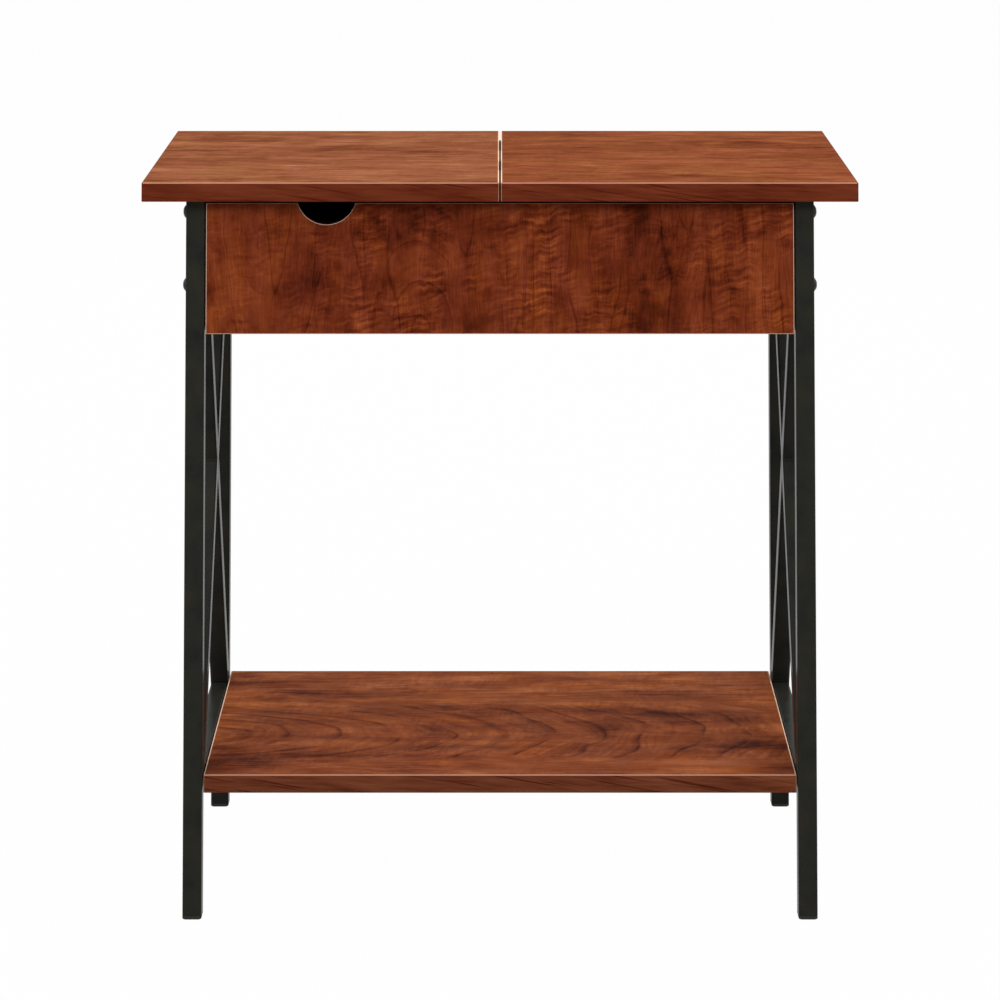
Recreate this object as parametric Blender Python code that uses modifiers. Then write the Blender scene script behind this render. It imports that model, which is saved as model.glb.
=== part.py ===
"""Flip-top side table: a shallow storage box and a low shelf between two crossed side frames.

Metres, +Z up. The front faces -Y, the left side is -X, and the origin is on the floor under the middle.
The left half of the top is a flap, which turns up on two butt hinges in the centre seam.
"""
import math

import bmesh
import bpy
from mathutils import Matrix, Vector

# Whole table
TABLE_WIDTH = 0.603
TABLE_DEPTH = 0.286
TABLE_HEIGHT = 0.610
CLEARANCE = 0.0003             # between pieces that touch
EDGE_EASE = 0.0006             # flat on every edge of the boards

# Two-piece top
TOP_THICKNESS = 0.016
TOP_END_OVERHANG = 0.0365      # past the outer faces of the legs
TOP_FRONT_OVERHANG = 0.010     # past the front and rear faces of the legs

# Square tube of the side frames
TUBE_SIZE = 0.016
TUBE_WALL = 0.0012
TUBE_CORNER = 0.002
CORNER_STEPS = 3

# Plastic plugs in the legs
FOOT_FLANGE = 0.003
FOOT_STEM = 0.012

# Storage box
BOX_HEIGHT = 0.1117
PANEL_THICKNESS = 0.015
PANEL_END_GAP = 0.001          # shadow gap between a leg and the end of a panel
BOTTOM_THICKNESS = 0.009
BOTTOM_LIFT = 0.008            # from the lower edge of the box to its bottom board
GROOVE_DEPTH = 0.006           # grooves that hold the bottom board
DIVIDER_THICKNESS = 0.015
DADO_DEPTH = 0.005             # slots that hold the ends of the divider

# Finger notch in the front panel
NOTCH_RADIUS = 0.0255
NOTCH_FROM_PANEL_END = 0.1016
NOTCH_CENTRE_RISE = 0.005      # the arc's centre lies above the panel's top edge
NOTCH_STEPS = 48

# Shelf
SHELF_TOP = 0.118
SHELF_THICKNESS = 0.015
SHELF_SETBACK = 0.002          # behind the front and rear faces of the legs
SHELF_END_GAP = 0.001
SHELF_ABOVE_RAIL = 0.0045

# Frame bolts and their barrel nuts
BOLT_DIAMETER = 0.006
BOLT_HEAD_DIAMETER = 0.012
BOLT_HEAD_HEIGHT = 0.003
BOLT_PAST_NUT = 0.002
BOLT_SOCKET = 0.004            # across the flats of the hex socket
BOLT_SOCKET_DEPTH = 0.0018
UPPER_BOLT_DROP = 0.0107       # from the top of the box to the upper bolts
BOLT_SPACING = 0.061           # from an upper bolt to the lower one
NUT_DIAMETER = 0.010
NUT_FROM_PANEL_END = 0.034
NUT_COVER = 0.0028             # board left in front of a nut's blind hole
NUT_SLOT_WIDTH = 0.0012
NUT_SLOT_DEPTH = 0.0015
POINT_CHAMFER = 0.0008         # on the tips of bolts and screws

# Screws through the rails
SCREW_DIAMETER = 0.004
SCREW_HEAD_DIAMETER = 0.009
SCREW_HEAD_HEIGHT = 0.0024
SCREW_SOCKET = 0.003
SCREW_SOCKET_DEPTH = 0.0014
SHELF_SCREW_FROM_LEG = 0.037   # from the inner face of a leg
SHELF_SCREW_DEPTH = 0.030      # into the shelf
TOP_SCREW_FROM_LEG = 0.057
TOP_SCREW_COVER = 0.005        # board left above the top screws

# Dowels between the box and the fixed half of the top
DOWEL_DIAMETER = 0.008
DOWEL_LENGTH = 0.030
DOWEL_COVER = 0.005            # board left above a dowel
DOWEL_FROM_SEAM = 0.050
DOWEL_SPACING = 0.110
DOWEL_CHAMFER = 0.001

# Hinges in the seam
PIN_RADIUS = 0.0006
PIN_OVERRUN = 0.0008           # the pin stands past the knuckles at each end
KNUCKLE_WALL = 0.00035
KNUCKLE_COUNT = 5
SEAM_SIDE_ROOM = 0.00025       # between a knuckle and the edge of a board
PIN_RISE = 0.0005              # the pin's axis lies this far above the top
HINGE_LENGTH = 0.050
HINGE_SPACING = 0.109          # between the middles of the two hinges
LEAF_THICKNESS = 0.001
LEAF_INSET = 0.0002            # from the top surface down to the leaf
LEAF_COVER = 0.0028            # board left under a leaf
WEB_MARGIN = 0.00005           # the web stays inside the outlines of the leaf and the knuckle
LEAF_HOLE_SPACING = 0.030
LEAF_HOLE_RADIUS = 0.0011
LEAF_COUNTERSINK_RADIUS = 0.0021

# Facets of round pieces and of holes
ROUND_STEPS = 16
HOLE_STEPS = 12
DOME_STEPS = 4
HEX_STEPS = 6
SHARP_ANGLE = math.radians(35)
WELD_DISTANCE = 1e-7

# Places that follow from the sizes above
KNUCKLE_RADIUS = PIN_RADIUS + CLEARANCE + KNUCKLE_WALL
SEAM_HALF = KNUCKLE_RADIUS + SEAM_SIDE_ROOM
PIN_Z = TABLE_HEIGHT + PIN_RISE
TOP_UNDERSIDE = TABLE_HEIGHT - TOP_THICKNESS
SEAT_Z = TOP_UNDERSIDE - CLEARANCE
LEG_OUTER_X = TABLE_WIDTH / 2 - TOP_END_OVERHANG
LEG_INNER_X = LEG_OUTER_X - TUBE_SIZE
LEG_X = LEG_OUTER_X - TUBE_SIZE / 2
LEG_OUTER_Y = TABLE_DEPTH / 2 - TOP_FRONT_OVERHANG
LEG_INNER_Y = LEG_OUTER_Y - TUBE_SIZE
LEG_Y = LEG_OUTER_Y - TUBE_SIZE / 2
PANEL_HALF_LENGTH = LEG_INNER_X - PANEL_END_GAP
PANEL_OUTER_Y = LEG_Y + PANEL_THICKNESS / 2
PANEL_INNER_Y = LEG_Y - PANEL_THICKNESS / 2
END_INNER_X = PANEL_HALF_LENGTH - PANEL_THICKNESS
BOX_BOTTOM = SEAT_Z - BOX_HEIGHT
BOTTOM_LOW = BOX_BOTTOM + BOTTOM_LIFT
BOTTOM_HIGH = BOTTOM_LOW + BOTTOM_THICKNESS
SHELF_BOTTOM = SHELF_TOP - SHELF_THICKNESS
LOWER_RAIL_TOP = SHELF_TOP - SHELF_ABOVE_RAIL
UPPER_RAIL_BOTTOM = SEAT_Z - TUBE_SIZE
BOLT_LEVELS = {"upper": SEAT_Z - UPPER_BOLT_DROP, "lower": SEAT_Z - UPPER_BOLT_DROP - BOLT_SPACING}
NUT_X = PANEL_HALF_LENGTH - NUT_FROM_PANEL_END
NUT_LENGTH = PANEL_THICKNESS - NUT_COVER - CLEARANCE
LEAF_TOP_Z = -PIN_RISE - LEAF_INSET                               # from the pin's axis
LEAF_LOW_Z = LEAF_TOP_Z - (TOP_THICKNESS - LEAF_INSET - LEAF_COVER)
DOWEL_TOP_Z = TABLE_HEIGHT - DOWEL_COVER
SIDES = {"left": -1, "right": 1}
ENDS = {"front": -1, "rear": 1}


def clear_scene():
    """Remove every object and make one collection for the table and one for its cutters."""
    for obj in list(bpy.data.objects):
        bpy.data.objects.remove(obj)
    groups = []
    for name in ("flip_top_side_table", "cutters"):
        group = bpy.data.collections.new(name)
        bpy.context.scene.collection.children.link(group)
        groups.append(group)
    return groups


PARTS, CUTTERS = clear_scene()


def finish(name, colour, roughness, metallic=0.0):
    """Principled material in one colour."""
    material = bpy.data.materials.new(name)
    material.use_nodes = True
    shader = material.node_tree.nodes["Principled BSDF"]
    shader.inputs["Base Color"].default_value = (*colour, 1.0)
    shader.inputs["Roughness"].default_value = roughness
    shader.inputs["Metallic"].default_value = metallic
    return material


CHERRY_TOP = finish("cherry_laminate_top", (0.31, 0.10, 0.045), 0.45)
CHERRY_PANEL = finish("cherry_laminate_panel", (0.14, 0.025, 0.009), 0.45)
CHERRY_SHELF = finish("cherry_laminate_shelf", (0.20, 0.06, 0.025), 0.45)
RAW_BOARD = finish("brown_backing_board", (0.12, 0.06, 0.03), 0.7)
POWDER_COAT = finish("black_powder_coat", (0.02, 0.02, 0.017), 0.5)
FOOT_PLASTIC = finish("black_polyethylene", (0.015, 0.015, 0.015), 0.6)
BLACK_OXIDE = finish("black_oxide_steel", (0.03, 0.03, 0.03), 0.4, 0.8)
ZINC = finish("zinc_plated_steel", (0.55, 0.55, 0.54), 0.35, 1.0)
HINGE_STEEL = finish("blackened_hinge_steel", (0.05, 0.045, 0.04), 0.45, 0.9)
BEECH = finish("beech_dowel", (0.55, 0.38, 0.22), 0.7)


def place(name, mesh, material, matrix=Matrix()):
    """New object of the table in one material."""
    mesh.materials.clear()
    mesh.materials.append(material)
    obj = bpy.data.objects.new(name, mesh)
    obj.matrix_world = matrix
    PARTS.objects.link(obj)
    return obj


def guide(name, mesh, matrix=Matrix()):
    """New cutter or trimming body, which isn't part of the table."""
    obj = bpy.data.objects.new(name, mesh)
    obj.matrix_world = matrix
    obj.hide_render = True
    obj.display_type = "WIRE"
    CUTTERS.objects.link(obj)
    return obj


def mesh_from(bm, name):
    """Turn a bmesh into a mesh, with round faces smooth and corners sharp."""
    mesh = bpy.data.meshes.new(name)
    bm.to_mesh(mesh)
    bm.free()
    mesh.shade_smooth()
    mesh.set_sharp_from_angle(angle=SHARP_ANGLE)
    return mesh


def box_mesh(name, size):
    """Box about its own middle."""
    bm = bmesh.new()
    bmesh.ops.create_cube(bm, size=1.0)
    bmesh.ops.scale(bm, vec=size, verts=bm.verts)
    return mesh_from(bm, name)


def cone_mesh(name, radius, length, end_radius=None, steps=ROUND_STEPS):
    """Cylinder or cone along its own Z, about its middle."""
    bm = bmesh.new()
    radius_top = radius if end_radius is None else end_radius
    bmesh.ops.create_cone(
        bm, cap_ends=True, segments=steps, radius1=radius, radius2=radius_top, depth=length)
    return mesh_from(bm, name)


def middle(low, high):
    return Matrix.Translation((Vector(low) + Vector(high)) / 2)


def extent(low, high):
    return Vector(high) - Vector(low)


def grown(low, high, margin=CLEARANCE):
    """The box between two corners, with room added on every side."""
    room = Vector((margin, margin, margin))
    return Vector(low) - room, Vector(high) + room


def along(axis, point):
    """Matrix that lays a piece's own Z along an axis, with its origin at a point."""
    turn = Vector(axis).to_track_quat("Z", "Y").to_matrix().to_4x4()
    return Matrix.Translation(point) @ turn


def combine(obj, other, operation):
    """Cut, trim or join a piece with another body."""
    modifier = obj.modifiers.new(other.name, "BOOLEAN")
    modifier.operation = operation
    modifier.object = other


def cut(obj, *cutters):
    for cutter in cutters:
        combine(obj, cutter, "DIFFERENCE")


def box_guide(name, low, high):
    return guide(name, box_mesh(name, extent(low, high)), middle(low, high))


def hole_guide(name, start, end, radius, steps=HOLE_STEPS):
    """Cutter for a round hole between two points."""
    run = Vector(end) - Vector(start)
    return guide(name, cone_mesh(name, radius, run.length, steps=steps),
                 along(run, (Vector(start) + Vector(end)) / 2))


def settled(obj):
    """The piece's mesh with its modifiers worked in, in its own axes; the piece itself is removed."""
    bpy.context.view_layer.update()
    evaluated = obj.evaluated_get(bpy.context.evaluated_depsgraph_get())
    mesh = bpy.data.meshes.new_from_object(evaluated)
    mesh.name = obj.name
    bm = bmesh.new()
    bm.from_mesh(mesh)
    bmesh.ops.remove_doubles(bm, verts=bm.verts, dist=WELD_DISTANCE)
    bm.to_mesh(mesh)
    bm.free()
    bpy.data.objects.remove(obj)
    return mesh


def board(name, low, high, material):
    """Flat board between two corners, with eased edges."""
    obj = place(name, box_mesh(name, extent(low, high)), material, middle(low, high))
    ease = obj.modifiers.new("eased_edges", "BEVEL")
    ease.width = EDGE_EASE
    ease.segments = 1
    return obj


def rounded_square(size, radius):
    """Outline of a square with round corners, as points in order."""
    points = []
    reach = size / 2 - radius
    for quarter in range(4):
        start = quarter * math.pi / 2
        corner = Vector((reach, reach)) @ Matrix.Rotation(-start, 2)
        for step in range(CORNER_STEPS + 1):
            angle = start + step / CORNER_STEPS * math.pi / 2
            points.append(corner + radius * Vector((math.cos(angle), math.sin(angle))))
    return points


def tube_mesh(name, length):
    """Square tube along its own Z: an outer and an inner outline, filled between and extruded."""
    curve = bpy.data.curves.new(name, "CURVE")
    curve.dimensions = "2D"
    curve.fill_mode = "BOTH"
    curve.extrude = length / 2
    inner_corner = max(TUBE_CORNER - TUBE_WALL, CLEARANCE)
    for size, radius in ((TUBE_SIZE, TUBE_CORNER), (TUBE_SIZE - 2 * TUBE_WALL, inner_corner)):
        outline = rounded_square(size, radius)
        spline = curve.splines.new("POLY")
        spline.points.add(len(outline) - 1)
        for point, (x, y) in zip(spline.points, outline):
            point.co = (x, y, 0.0, 1.0)
        spline.use_cyclic_u = True
    source = bpy.data.objects.new(name, curve)
    bpy.context.scene.collection.objects.link(source)
    mesh = settled(source)
    bm = bmesh.new()
    bm.from_mesh(mesh)
    bmesh.ops.recalc_face_normals(bm, faces=bm.faces)
    bpy.data.meshes.remove(mesh)
    return mesh_from(bm, name)


def turned_mesh(name, profile, steps=ROUND_STEPS):
    """Solid of revolution about its own Z, from a profile of radius and height, top to bottom."""
    bm = bmesh.new()
    corners = [bm.verts.new((radius, 0.0, height)) for radius, height in profile]
    for first, second in zip(corners, corners[1:]):
        bm.edges.new((first, second))
    mesh = bpy.data.meshes.new(name)
    bm.to_mesh(mesh)
    bm.free()
    source = place(name, mesh, BLACK_OXIDE)
    turn = source.modifiers.new("turn", "SCREW")
    turn.axis = "Z"
    turn.steps = steps
    turn.render_steps = steps
    turn.use_merge_vertices = True
    turn.merge_threshold = WELD_DISTANCE
    mesh = settled(source)
    mesh.shade_smooth()
    mesh.set_sharp_from_angle(angle=SHARP_ANGLE)
    return mesh


def fastener_mesh(name, shank, head, head_height, length, socket, socket_depth):
    """Dome-head bolt: its head's seat is at the origin, its head is up and its shank down."""
    head_radius = head / 2
    shank_radius = shank / 2
    dome_radius = (head_radius ** 2 + head_height ** 2) / (2 * head_height)
    sweep = math.asin(head_radius / dome_radius)
    profile = []
    for step in range(DOME_STEPS + 1):
        angle = sweep * step / DOME_STEPS
        profile.append((dome_radius * math.sin(angle), head_height - dome_radius * (1 - math.cos(angle))))
    profile += [(shank_radius, 0.0), (shank_radius, POINT_CHAMFER - length),
                (shank_radius - POINT_CHAMFER, -length), (0.0, -length)]
    blank = place(name, turned_mesh(name, profile), BLACK_OXIDE)
    corner_radius = socket / 2 / math.cos(math.pi / HEX_STEPS)
    hexagon = cone_mesh(name + "_socket", corner_radius, 2 * socket_depth, steps=HEX_STEPS)
    recess = guide(name + "_socket", hexagon, Matrix.Translation((0.0, 0.0, head_height)))
    cut(blank, recess)
    mesh = settled(blank)
    bpy.data.objects.remove(recess)
    return mesh


def build_top():
    """The two halves of the top, with mortises for the hinge leaves in their meeting edges."""
    depth = TABLE_DEPTH / 2
    width = TABLE_WIDTH / 2
    flap = board("flip_top", (-width, -depth, TOP_UNDERSIDE), (-SEAM_HALF, depth, TABLE_HEIGHT), CHERRY_TOP)
    fixed = board("fixed_top", (SEAM_HALF, -depth, TOP_UNDERSIDE), (width, depth, TABLE_HEIGHT), CHERRY_TOP)
    reach = SEAM_HALF + LEAF_THICKNESS + CLEARANCE
    for end, way in ENDS.items():
        y = way * HINGE_SPACING / 2
        half = HINGE_LENGTH / 2 + CLEARANCE
        mortise = box_guide(end + "_hinge_mortise", (-reach, y - half, PIN_Z + LEAF_LOW_Z - CLEARANCE),
                            (reach, y + half, TABLE_HEIGHT + TOP_THICKNESS))
        cut(flap, mortise)
        cut(fixed, mortise)
    return flap, fixed


def build_box():
    """Front, back and end panels round a grooved-in bottom board, with a divider under the seam."""
    front_low = (-PANEL_HALF_LENGTH, -PANEL_OUTER_Y, BOX_BOTTOM)
    front_high = (PANEL_HALF_LENGTH, -PANEL_INNER_Y, SEAT_Z)
    front = board("front_panel", front_low, front_high, CHERRY_PANEL)
    back = board("back_panel", (-PANEL_HALF_LENGTH, PANEL_INNER_Y, BOX_BOTTOM),
                 (PANEL_HALF_LENGTH, PANEL_OUTER_Y, SEAT_Z), CHERRY_PANEL)
    end_y = PANEL_INNER_Y - CLEARANCE
    left = board("left_end_panel", (-PANEL_HALF_LENGTH, -end_y, BOX_BOTTOM), (-END_INNER_X, end_y, SEAT_Z),
                 CHERRY_PANEL)
    right = board("right_end_panel", (END_INNER_X, -end_y, BOX_BOTTOM), (PANEL_HALF_LENGTH, end_y, SEAT_Z),
                  CHERRY_PANEL)

    tongue = GROOVE_DEPTH - CLEARANCE
    bottom_high = Vector((END_INNER_X + tongue, PANEL_INNER_Y + tongue, BOTTOM_HIGH))
    bottom_low = Vector((-bottom_high.x, -bottom_high.y, BOTTOM_LOW))
    bottom = place("bottom_panel", box_mesh("bottom_panel", extent(bottom_low, bottom_high)), RAW_BOARD,
                   middle(bottom_low, bottom_high))
    groove = box_guide("bottom_groove", *grown(bottom_low, bottom_high))
    cut(left, groove)
    cut(right, groove)

    divider_y = PANEL_INNER_Y + DADO_DEPTH - CLEARANCE
    divider_low = (-DIVIDER_THICKNESS / 2, -divider_y, BOTTOM_HIGH + CLEARANCE)
    divider_high = (DIVIDER_THICKNESS / 2, divider_y, SEAT_Z)
    place("centre_divider", box_mesh("centre_divider", extent(divider_low, divider_high)), CHERRY_PANEL,
          middle(divider_low, divider_high))
    dado = box_guide("divider_dado", *grown(divider_low, divider_high))
    cut(front, groove, dado)
    cut(back, groove, dado)

    notch_x = NOTCH_FROM_PANEL_END - PANEL_HALF_LENGTH
    notch_z = SEAT_Z + NOTCH_CENTRE_RISE
    notch = hole_guide("finger_notch", (notch_x, -PANEL_OUTER_Y - PANEL_THICKNESS, notch_z),
                       (notch_x, -PANEL_INNER_Y + PANEL_THICKNESS / 2, notch_z), NOTCH_RADIUS, NOTCH_STEPS)
    cut(front, notch)
    return front, back, bottom


def build_legs():
    """Four upright tubes, each with a plug in its foot."""
    leg_low = FOOT_FLANGE + CLEARANCE
    length = SEAT_Z - leg_low
    leg = tube_mesh("leg", length)
    plug = foot_plug_mesh()
    legs = {}
    for side, x_way in SIDES.items():
        for end, y_way in ENDS.items():
            spot = Vector((x_way * LEG_X, y_way * LEG_Y, 0.0))
            centre = spot + Vector((0.0, 0.0, leg_low + length / 2))
            legs[side, end] = place(f"{end}_{side}_leg", leg.copy(), POWDER_COAT, Matrix.Translation(centre))
            place(f"{end}_{side}_foot", plug, FOOT_PLASTIC, Matrix.Translation(spot))
    return legs


def foot_plug_mesh():
    """Square flange with round corners, whose top face is inset and drawn up into a stem."""
    bm = bmesh.new()
    bmesh.ops.create_cube(bm, size=1.0)
    bmesh.ops.scale(bm, vec=(TUBE_SIZE, TUBE_SIZE, FOOT_FLANGE), verts=bm.verts)
    bmesh.ops.translate(bm, vec=(0.0, 0.0, FOOT_FLANGE / 2), verts=bm.verts)
    upright = [edge for edge in bm.edges if abs(edge.verts[0].co.z - edge.verts[1].co.z) > FOOT_FLANGE / 2]
    bmesh.ops.bevel(bm, geom=upright, offset=TUBE_CORNER, segments=CORNER_STEPS, affect="EDGES", profile=0.5)
    top = max(bm.faces, key=lambda face: face.calc_center_median().z)
    bmesh.ops.inset_region(bm, faces=[top], thickness=TUBE_WALL + CLEARANCE, use_even_offset=True)
    raised = bmesh.ops.extrude_face_region(bm, geom=[top])["geom"]
    stem_top = [item for item in raised if isinstance(item, bmesh.types.BMVert)]
    bmesh.ops.translate(bm, vec=(0.0, 0.0, FOOT_STEM), verts=stem_top)
    bmesh.ops.delete(bm, geom=[top], context="FACES_ONLY")
    return mesh_from(bm, "foot_plug")


def build_side_frames():
    """Upper and lower rails between the legs, and a crossed brace in the window that they leave."""
    span = 2 * (LEG_INNER_Y - CLEARANCE)
    rail = tube_mesh("rail", span)
    rails = {}
    for side, way in SIDES.items():
        for level, z in (("lower", LOWER_RAIL_TOP - TUBE_SIZE / 2), ("upper", SEAT_Z - TUBE_SIZE / 2)):
            rails[side, level] = place(f"{side}_{level}_rail", rail.copy(), POWDER_COAT,
                                       along((0.0, 1.0, 0.0), (way * LEG_X, 0.0, z)))
        build_brace(side, way * LEG_X)
    return rails


def build_brace(side, x):
    """Corner-to-corner cross: one tube runs right through, and the other is two halves welded to it."""
    low = Vector((x - TUBE_SIZE, CLEARANCE - LEG_INNER_Y, LOWER_RAIL_TOP + CLEARANCE))
    high = Vector((x + TUBE_SIZE, LEG_INNER_Y - CLEARANCE, UPPER_RAIL_BOTTOM - CLEARANCE))
    centre = Vector((x, 0.0, (low.z + high.z) / 2))
    rise = Vector((0.0, high.y - low.y, high.z - low.z))
    fall = Vector((0.0, low.y - high.y, high.z - low.z))
    blank = tube_mesh("brace", rise.length + 4 * TUBE_SIZE)
    window = box_guide(side + "_brace_window", low, high)
    full = place(side + "_full_brace", blank.copy(), POWDER_COAT, along(rise, centre))
    combine(full, window, "INTERSECT")

    thickness = TUBE_SIZE + 2 * CLEARANCE
    passing = guide(side + "_brace_crossing", box_mesh("crossing", (2 * TUBE_SIZE, thickness, rise.length)),
                    Matrix.Translation(centre) @ Matrix.Rotation(math.atan2(-rise.y, rise.z), 4, "X"))
    halves = {"upper": ((low.x, low.y, centre.z), high), "lower": (low, (high.x, high.y, centre.z))}
    for half, (half_low, half_high) in halves.items():
        piece = place(f"{side}_{half}_half_brace", blank.copy(), POWDER_COAT, along(fall, centre))
        combine(piece, box_guide(f"{side}_{half}_half_window", half_low, half_high), "INTERSECT")
        cut(piece, passing)


def build_shelf():
    half_length = LEG_INNER_X - SHELF_END_GAP
    half_depth = LEG_OUTER_Y - SHELF_SETBACK
    return board("shelf", (-half_length, -half_depth, SHELF_BOTTOM), (half_length, half_depth, SHELF_TOP),
                 CHERRY_SHELF)


def barrel_nut_mesh():
    """Round nut along its own Z, with a cross hole for the bolt along X and a driver slot in its top."""
    blank = place("barrel_nut", cone_mesh("barrel_nut", NUT_DIAMETER / 2, NUT_LENGTH), ZINC)
    cross = NUT_LENGTH / 2 - (PANEL_THICKNESS / 2 - NUT_COVER - CLEARANCE)
    bore = hole_guide("nut_bore", (-NUT_DIAMETER, 0.0, -cross), (NUT_DIAMETER, 0.0, -cross),
                      BOLT_DIAMETER / 2 + CLEARANCE)
    half_slot = NUT_SLOT_WIDTH / 2
    slot = box_guide("nut_slot", (-NUT_DIAMETER, -half_slot, NUT_LENGTH / 2 - NUT_SLOT_DEPTH),
                     (NUT_DIAMETER, half_slot, NUT_LENGTH))
    cut(blank, bore, slot)
    mesh = settled(blank)
    bpy.data.objects.remove(bore)
    bpy.data.objects.remove(slot)
    return mesh


def fit_frame_bolts(legs, front, back):
    """Two bolts through each leg into the end of a panel, where a barrel nut takes each of them."""
    hole_radius = BOLT_DIAMETER / 2 + CLEARANCE
    seat_x = LEG_OUTER_X + CLEARANCE
    tip_x = NUT_X - NUT_DIAMETER / 2 - BOLT_PAST_NUT
    bolt = fastener_mesh("frame_bolt", BOLT_DIAMETER, BOLT_HEAD_DIAMETER, BOLT_HEAD_HEIGHT,
                         seat_x - tip_x, BOLT_SOCKET, BOLT_SOCKET_DEPTH)
    nut = barrel_nut_mesh()
    nut_y = PANEL_INNER_Y + NUT_LENGTH / 2
    panels = {"front": front, "rear": back}
    for side, x_way in SIDES.items():
        for end, y_way in ENDS.items():
            for level, z in BOLT_LEVELS.items():
                tag = f"{end}_{side}_{level}"
                y = y_way * LEG_Y
                nut_x = x_way * NUT_X
                place(tag + "_bolt", bolt, BLACK_OXIDE, along((x_way, 0.0, 0.0), (x_way * seat_x, y, z)))
                place(tag + "_barrel_nut", nut, ZINC, along((0.0, -y_way, 0.0), (nut_x, y_way * nut_y, z)))
                shank = hole_guide(tag + "_bolt_hole", (x_way * (tip_x - BOLT_PAST_NUT), y, z),
                                   (x_way * (LEG_OUTER_X + TUBE_SIZE), y, z), hole_radius)
                pocket = hole_guide(tag + "_nut_hole", (nut_x, y_way * (PANEL_OUTER_Y - NUT_COVER), z),
                                    (nut_x, y_way * (PANEL_INNER_Y - PANEL_THICKNESS), z),
                                    NUT_DIAMETER / 2 + CLEARANCE)
                cut(legs[side, end], shank)
                cut(panels[end], shank, pocket)


def fit_shelf_screws(rails, shelf):
    """Two screws through each lower rail into the end of the shelf."""
    z = (SHELF_BOTTOM + LOWER_RAIL_TOP) / 2
    seat_x = LEG_OUTER_X + CLEARANCE
    tip_x = LEG_INNER_X - SHELF_END_GAP - SHELF_SCREW_DEPTH
    screw = fastener_mesh("shelf_screw", SCREW_DIAMETER, SCREW_HEAD_DIAMETER, SCREW_HEAD_HEIGHT,
                          seat_x - tip_x, SCREW_SOCKET, SCREW_SOCKET_DEPTH)
    for side, x_way in SIDES.items():
        for end, y_way in ENDS.items():
            y = y_way * (LEG_INNER_Y - SHELF_SCREW_FROM_LEG)
            tag = f"{end}_{side}_shelf_screw"
            place(tag, screw, BLACK_OXIDE, along((x_way, 0.0, 0.0), (x_way * seat_x, y, z)))
            hole = hole_guide(tag + "_hole", (x_way * (tip_x - CLEARANCE), y, z),
                              (x_way * (LEG_OUTER_X + TUBE_SIZE), y, z), SCREW_DIAMETER / 2 + CLEARANCE)
            cut(rails[side, "lower"], hole)
            cut(shelf, hole)


def fit_top_screws(rail, fixed_top):
    """Two screws up through the right upper rail into the fixed half of the top."""
    seat_z = UPPER_RAIL_BOTTOM - CLEARANCE
    tip_z = TABLE_HEIGHT - TOP_SCREW_COVER - CLEARANCE
    screw = fastener_mesh("top_screw", SCREW_DIAMETER, SCREW_HEAD_DIAMETER, SCREW_HEAD_HEIGHT,
                          tip_z - seat_z, SCREW_SOCKET, SCREW_SOCKET_DEPTH)
    for end, y_way in ENDS.items():
        y = y_way * (LEG_INNER_Y - TOP_SCREW_FROM_LEG)
        place(end + "_top_screw", screw, BLACK_OXIDE, along((0.0, 0.0, -1.0), (LEG_X, y, seat_z)))
        hole = hole_guide(end + "_top_screw_hole", (LEG_X, y, seat_z - TUBE_SIZE),
                          (LEG_X, y, TABLE_HEIGHT - TOP_SCREW_COVER), SCREW_DIAMETER / 2 + CLEARANCE)
        cut(rail, hole)
        cut(fixed_top, hole)


def fit_dowels(panels, fixed_top):
    """Dowels stand in the top edges of the front and back panels and reach into the fixed half."""
    radius = DOWEL_DIAMETER / 2
    neck = radius - DOWEL_CHAMFER
    shoulder = DOWEL_LENGTH / 2 - DOWEL_CHAMFER
    profile = [(0.0, DOWEL_LENGTH / 2), (neck, DOWEL_LENGTH / 2), (radius, shoulder), (radius, -shoulder),
               (neck, -DOWEL_LENGTH / 2), (0.0, -DOWEL_LENGTH / 2)]
    dowel = turned_mesh("dowel", profile)
    z = DOWEL_TOP_Z - CLEARANCE - DOWEL_LENGTH / 2
    for end, y_way in ENDS.items():
        for place_name, x in (("inner", DOWEL_FROM_SEAM), ("outer", DOWEL_FROM_SEAM + DOWEL_SPACING)):
            spot = Vector((x, y_way * LEG_Y, 0.0))
            place(f"{end}_{place_name}_dowel", dowel, BEECH, Matrix.Translation(spot + Vector((0.0, 0.0, z))))
            hole = hole_guide(f"{end}_{place_name}_dowel_hole",
                              spot + Vector((0.0, 0.0, z - DOWEL_LENGTH / 2 - CLEARANCE)),
                              spot + Vector((0.0, 0.0, DOWEL_TOP_Z)), radius + CLEARANCE)
            cut(panels[end], hole)
            cut(fixed_top, hole)


def on_side(way, low, high):
    """Corners of a box given for the right side, turned over to the left where way is -1."""
    if way > 0:
        return Vector(low), Vector(high)
    return Vector((-high[0], low[1], low[2])), Vector((-low[0], high[1], high[2]))


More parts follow.
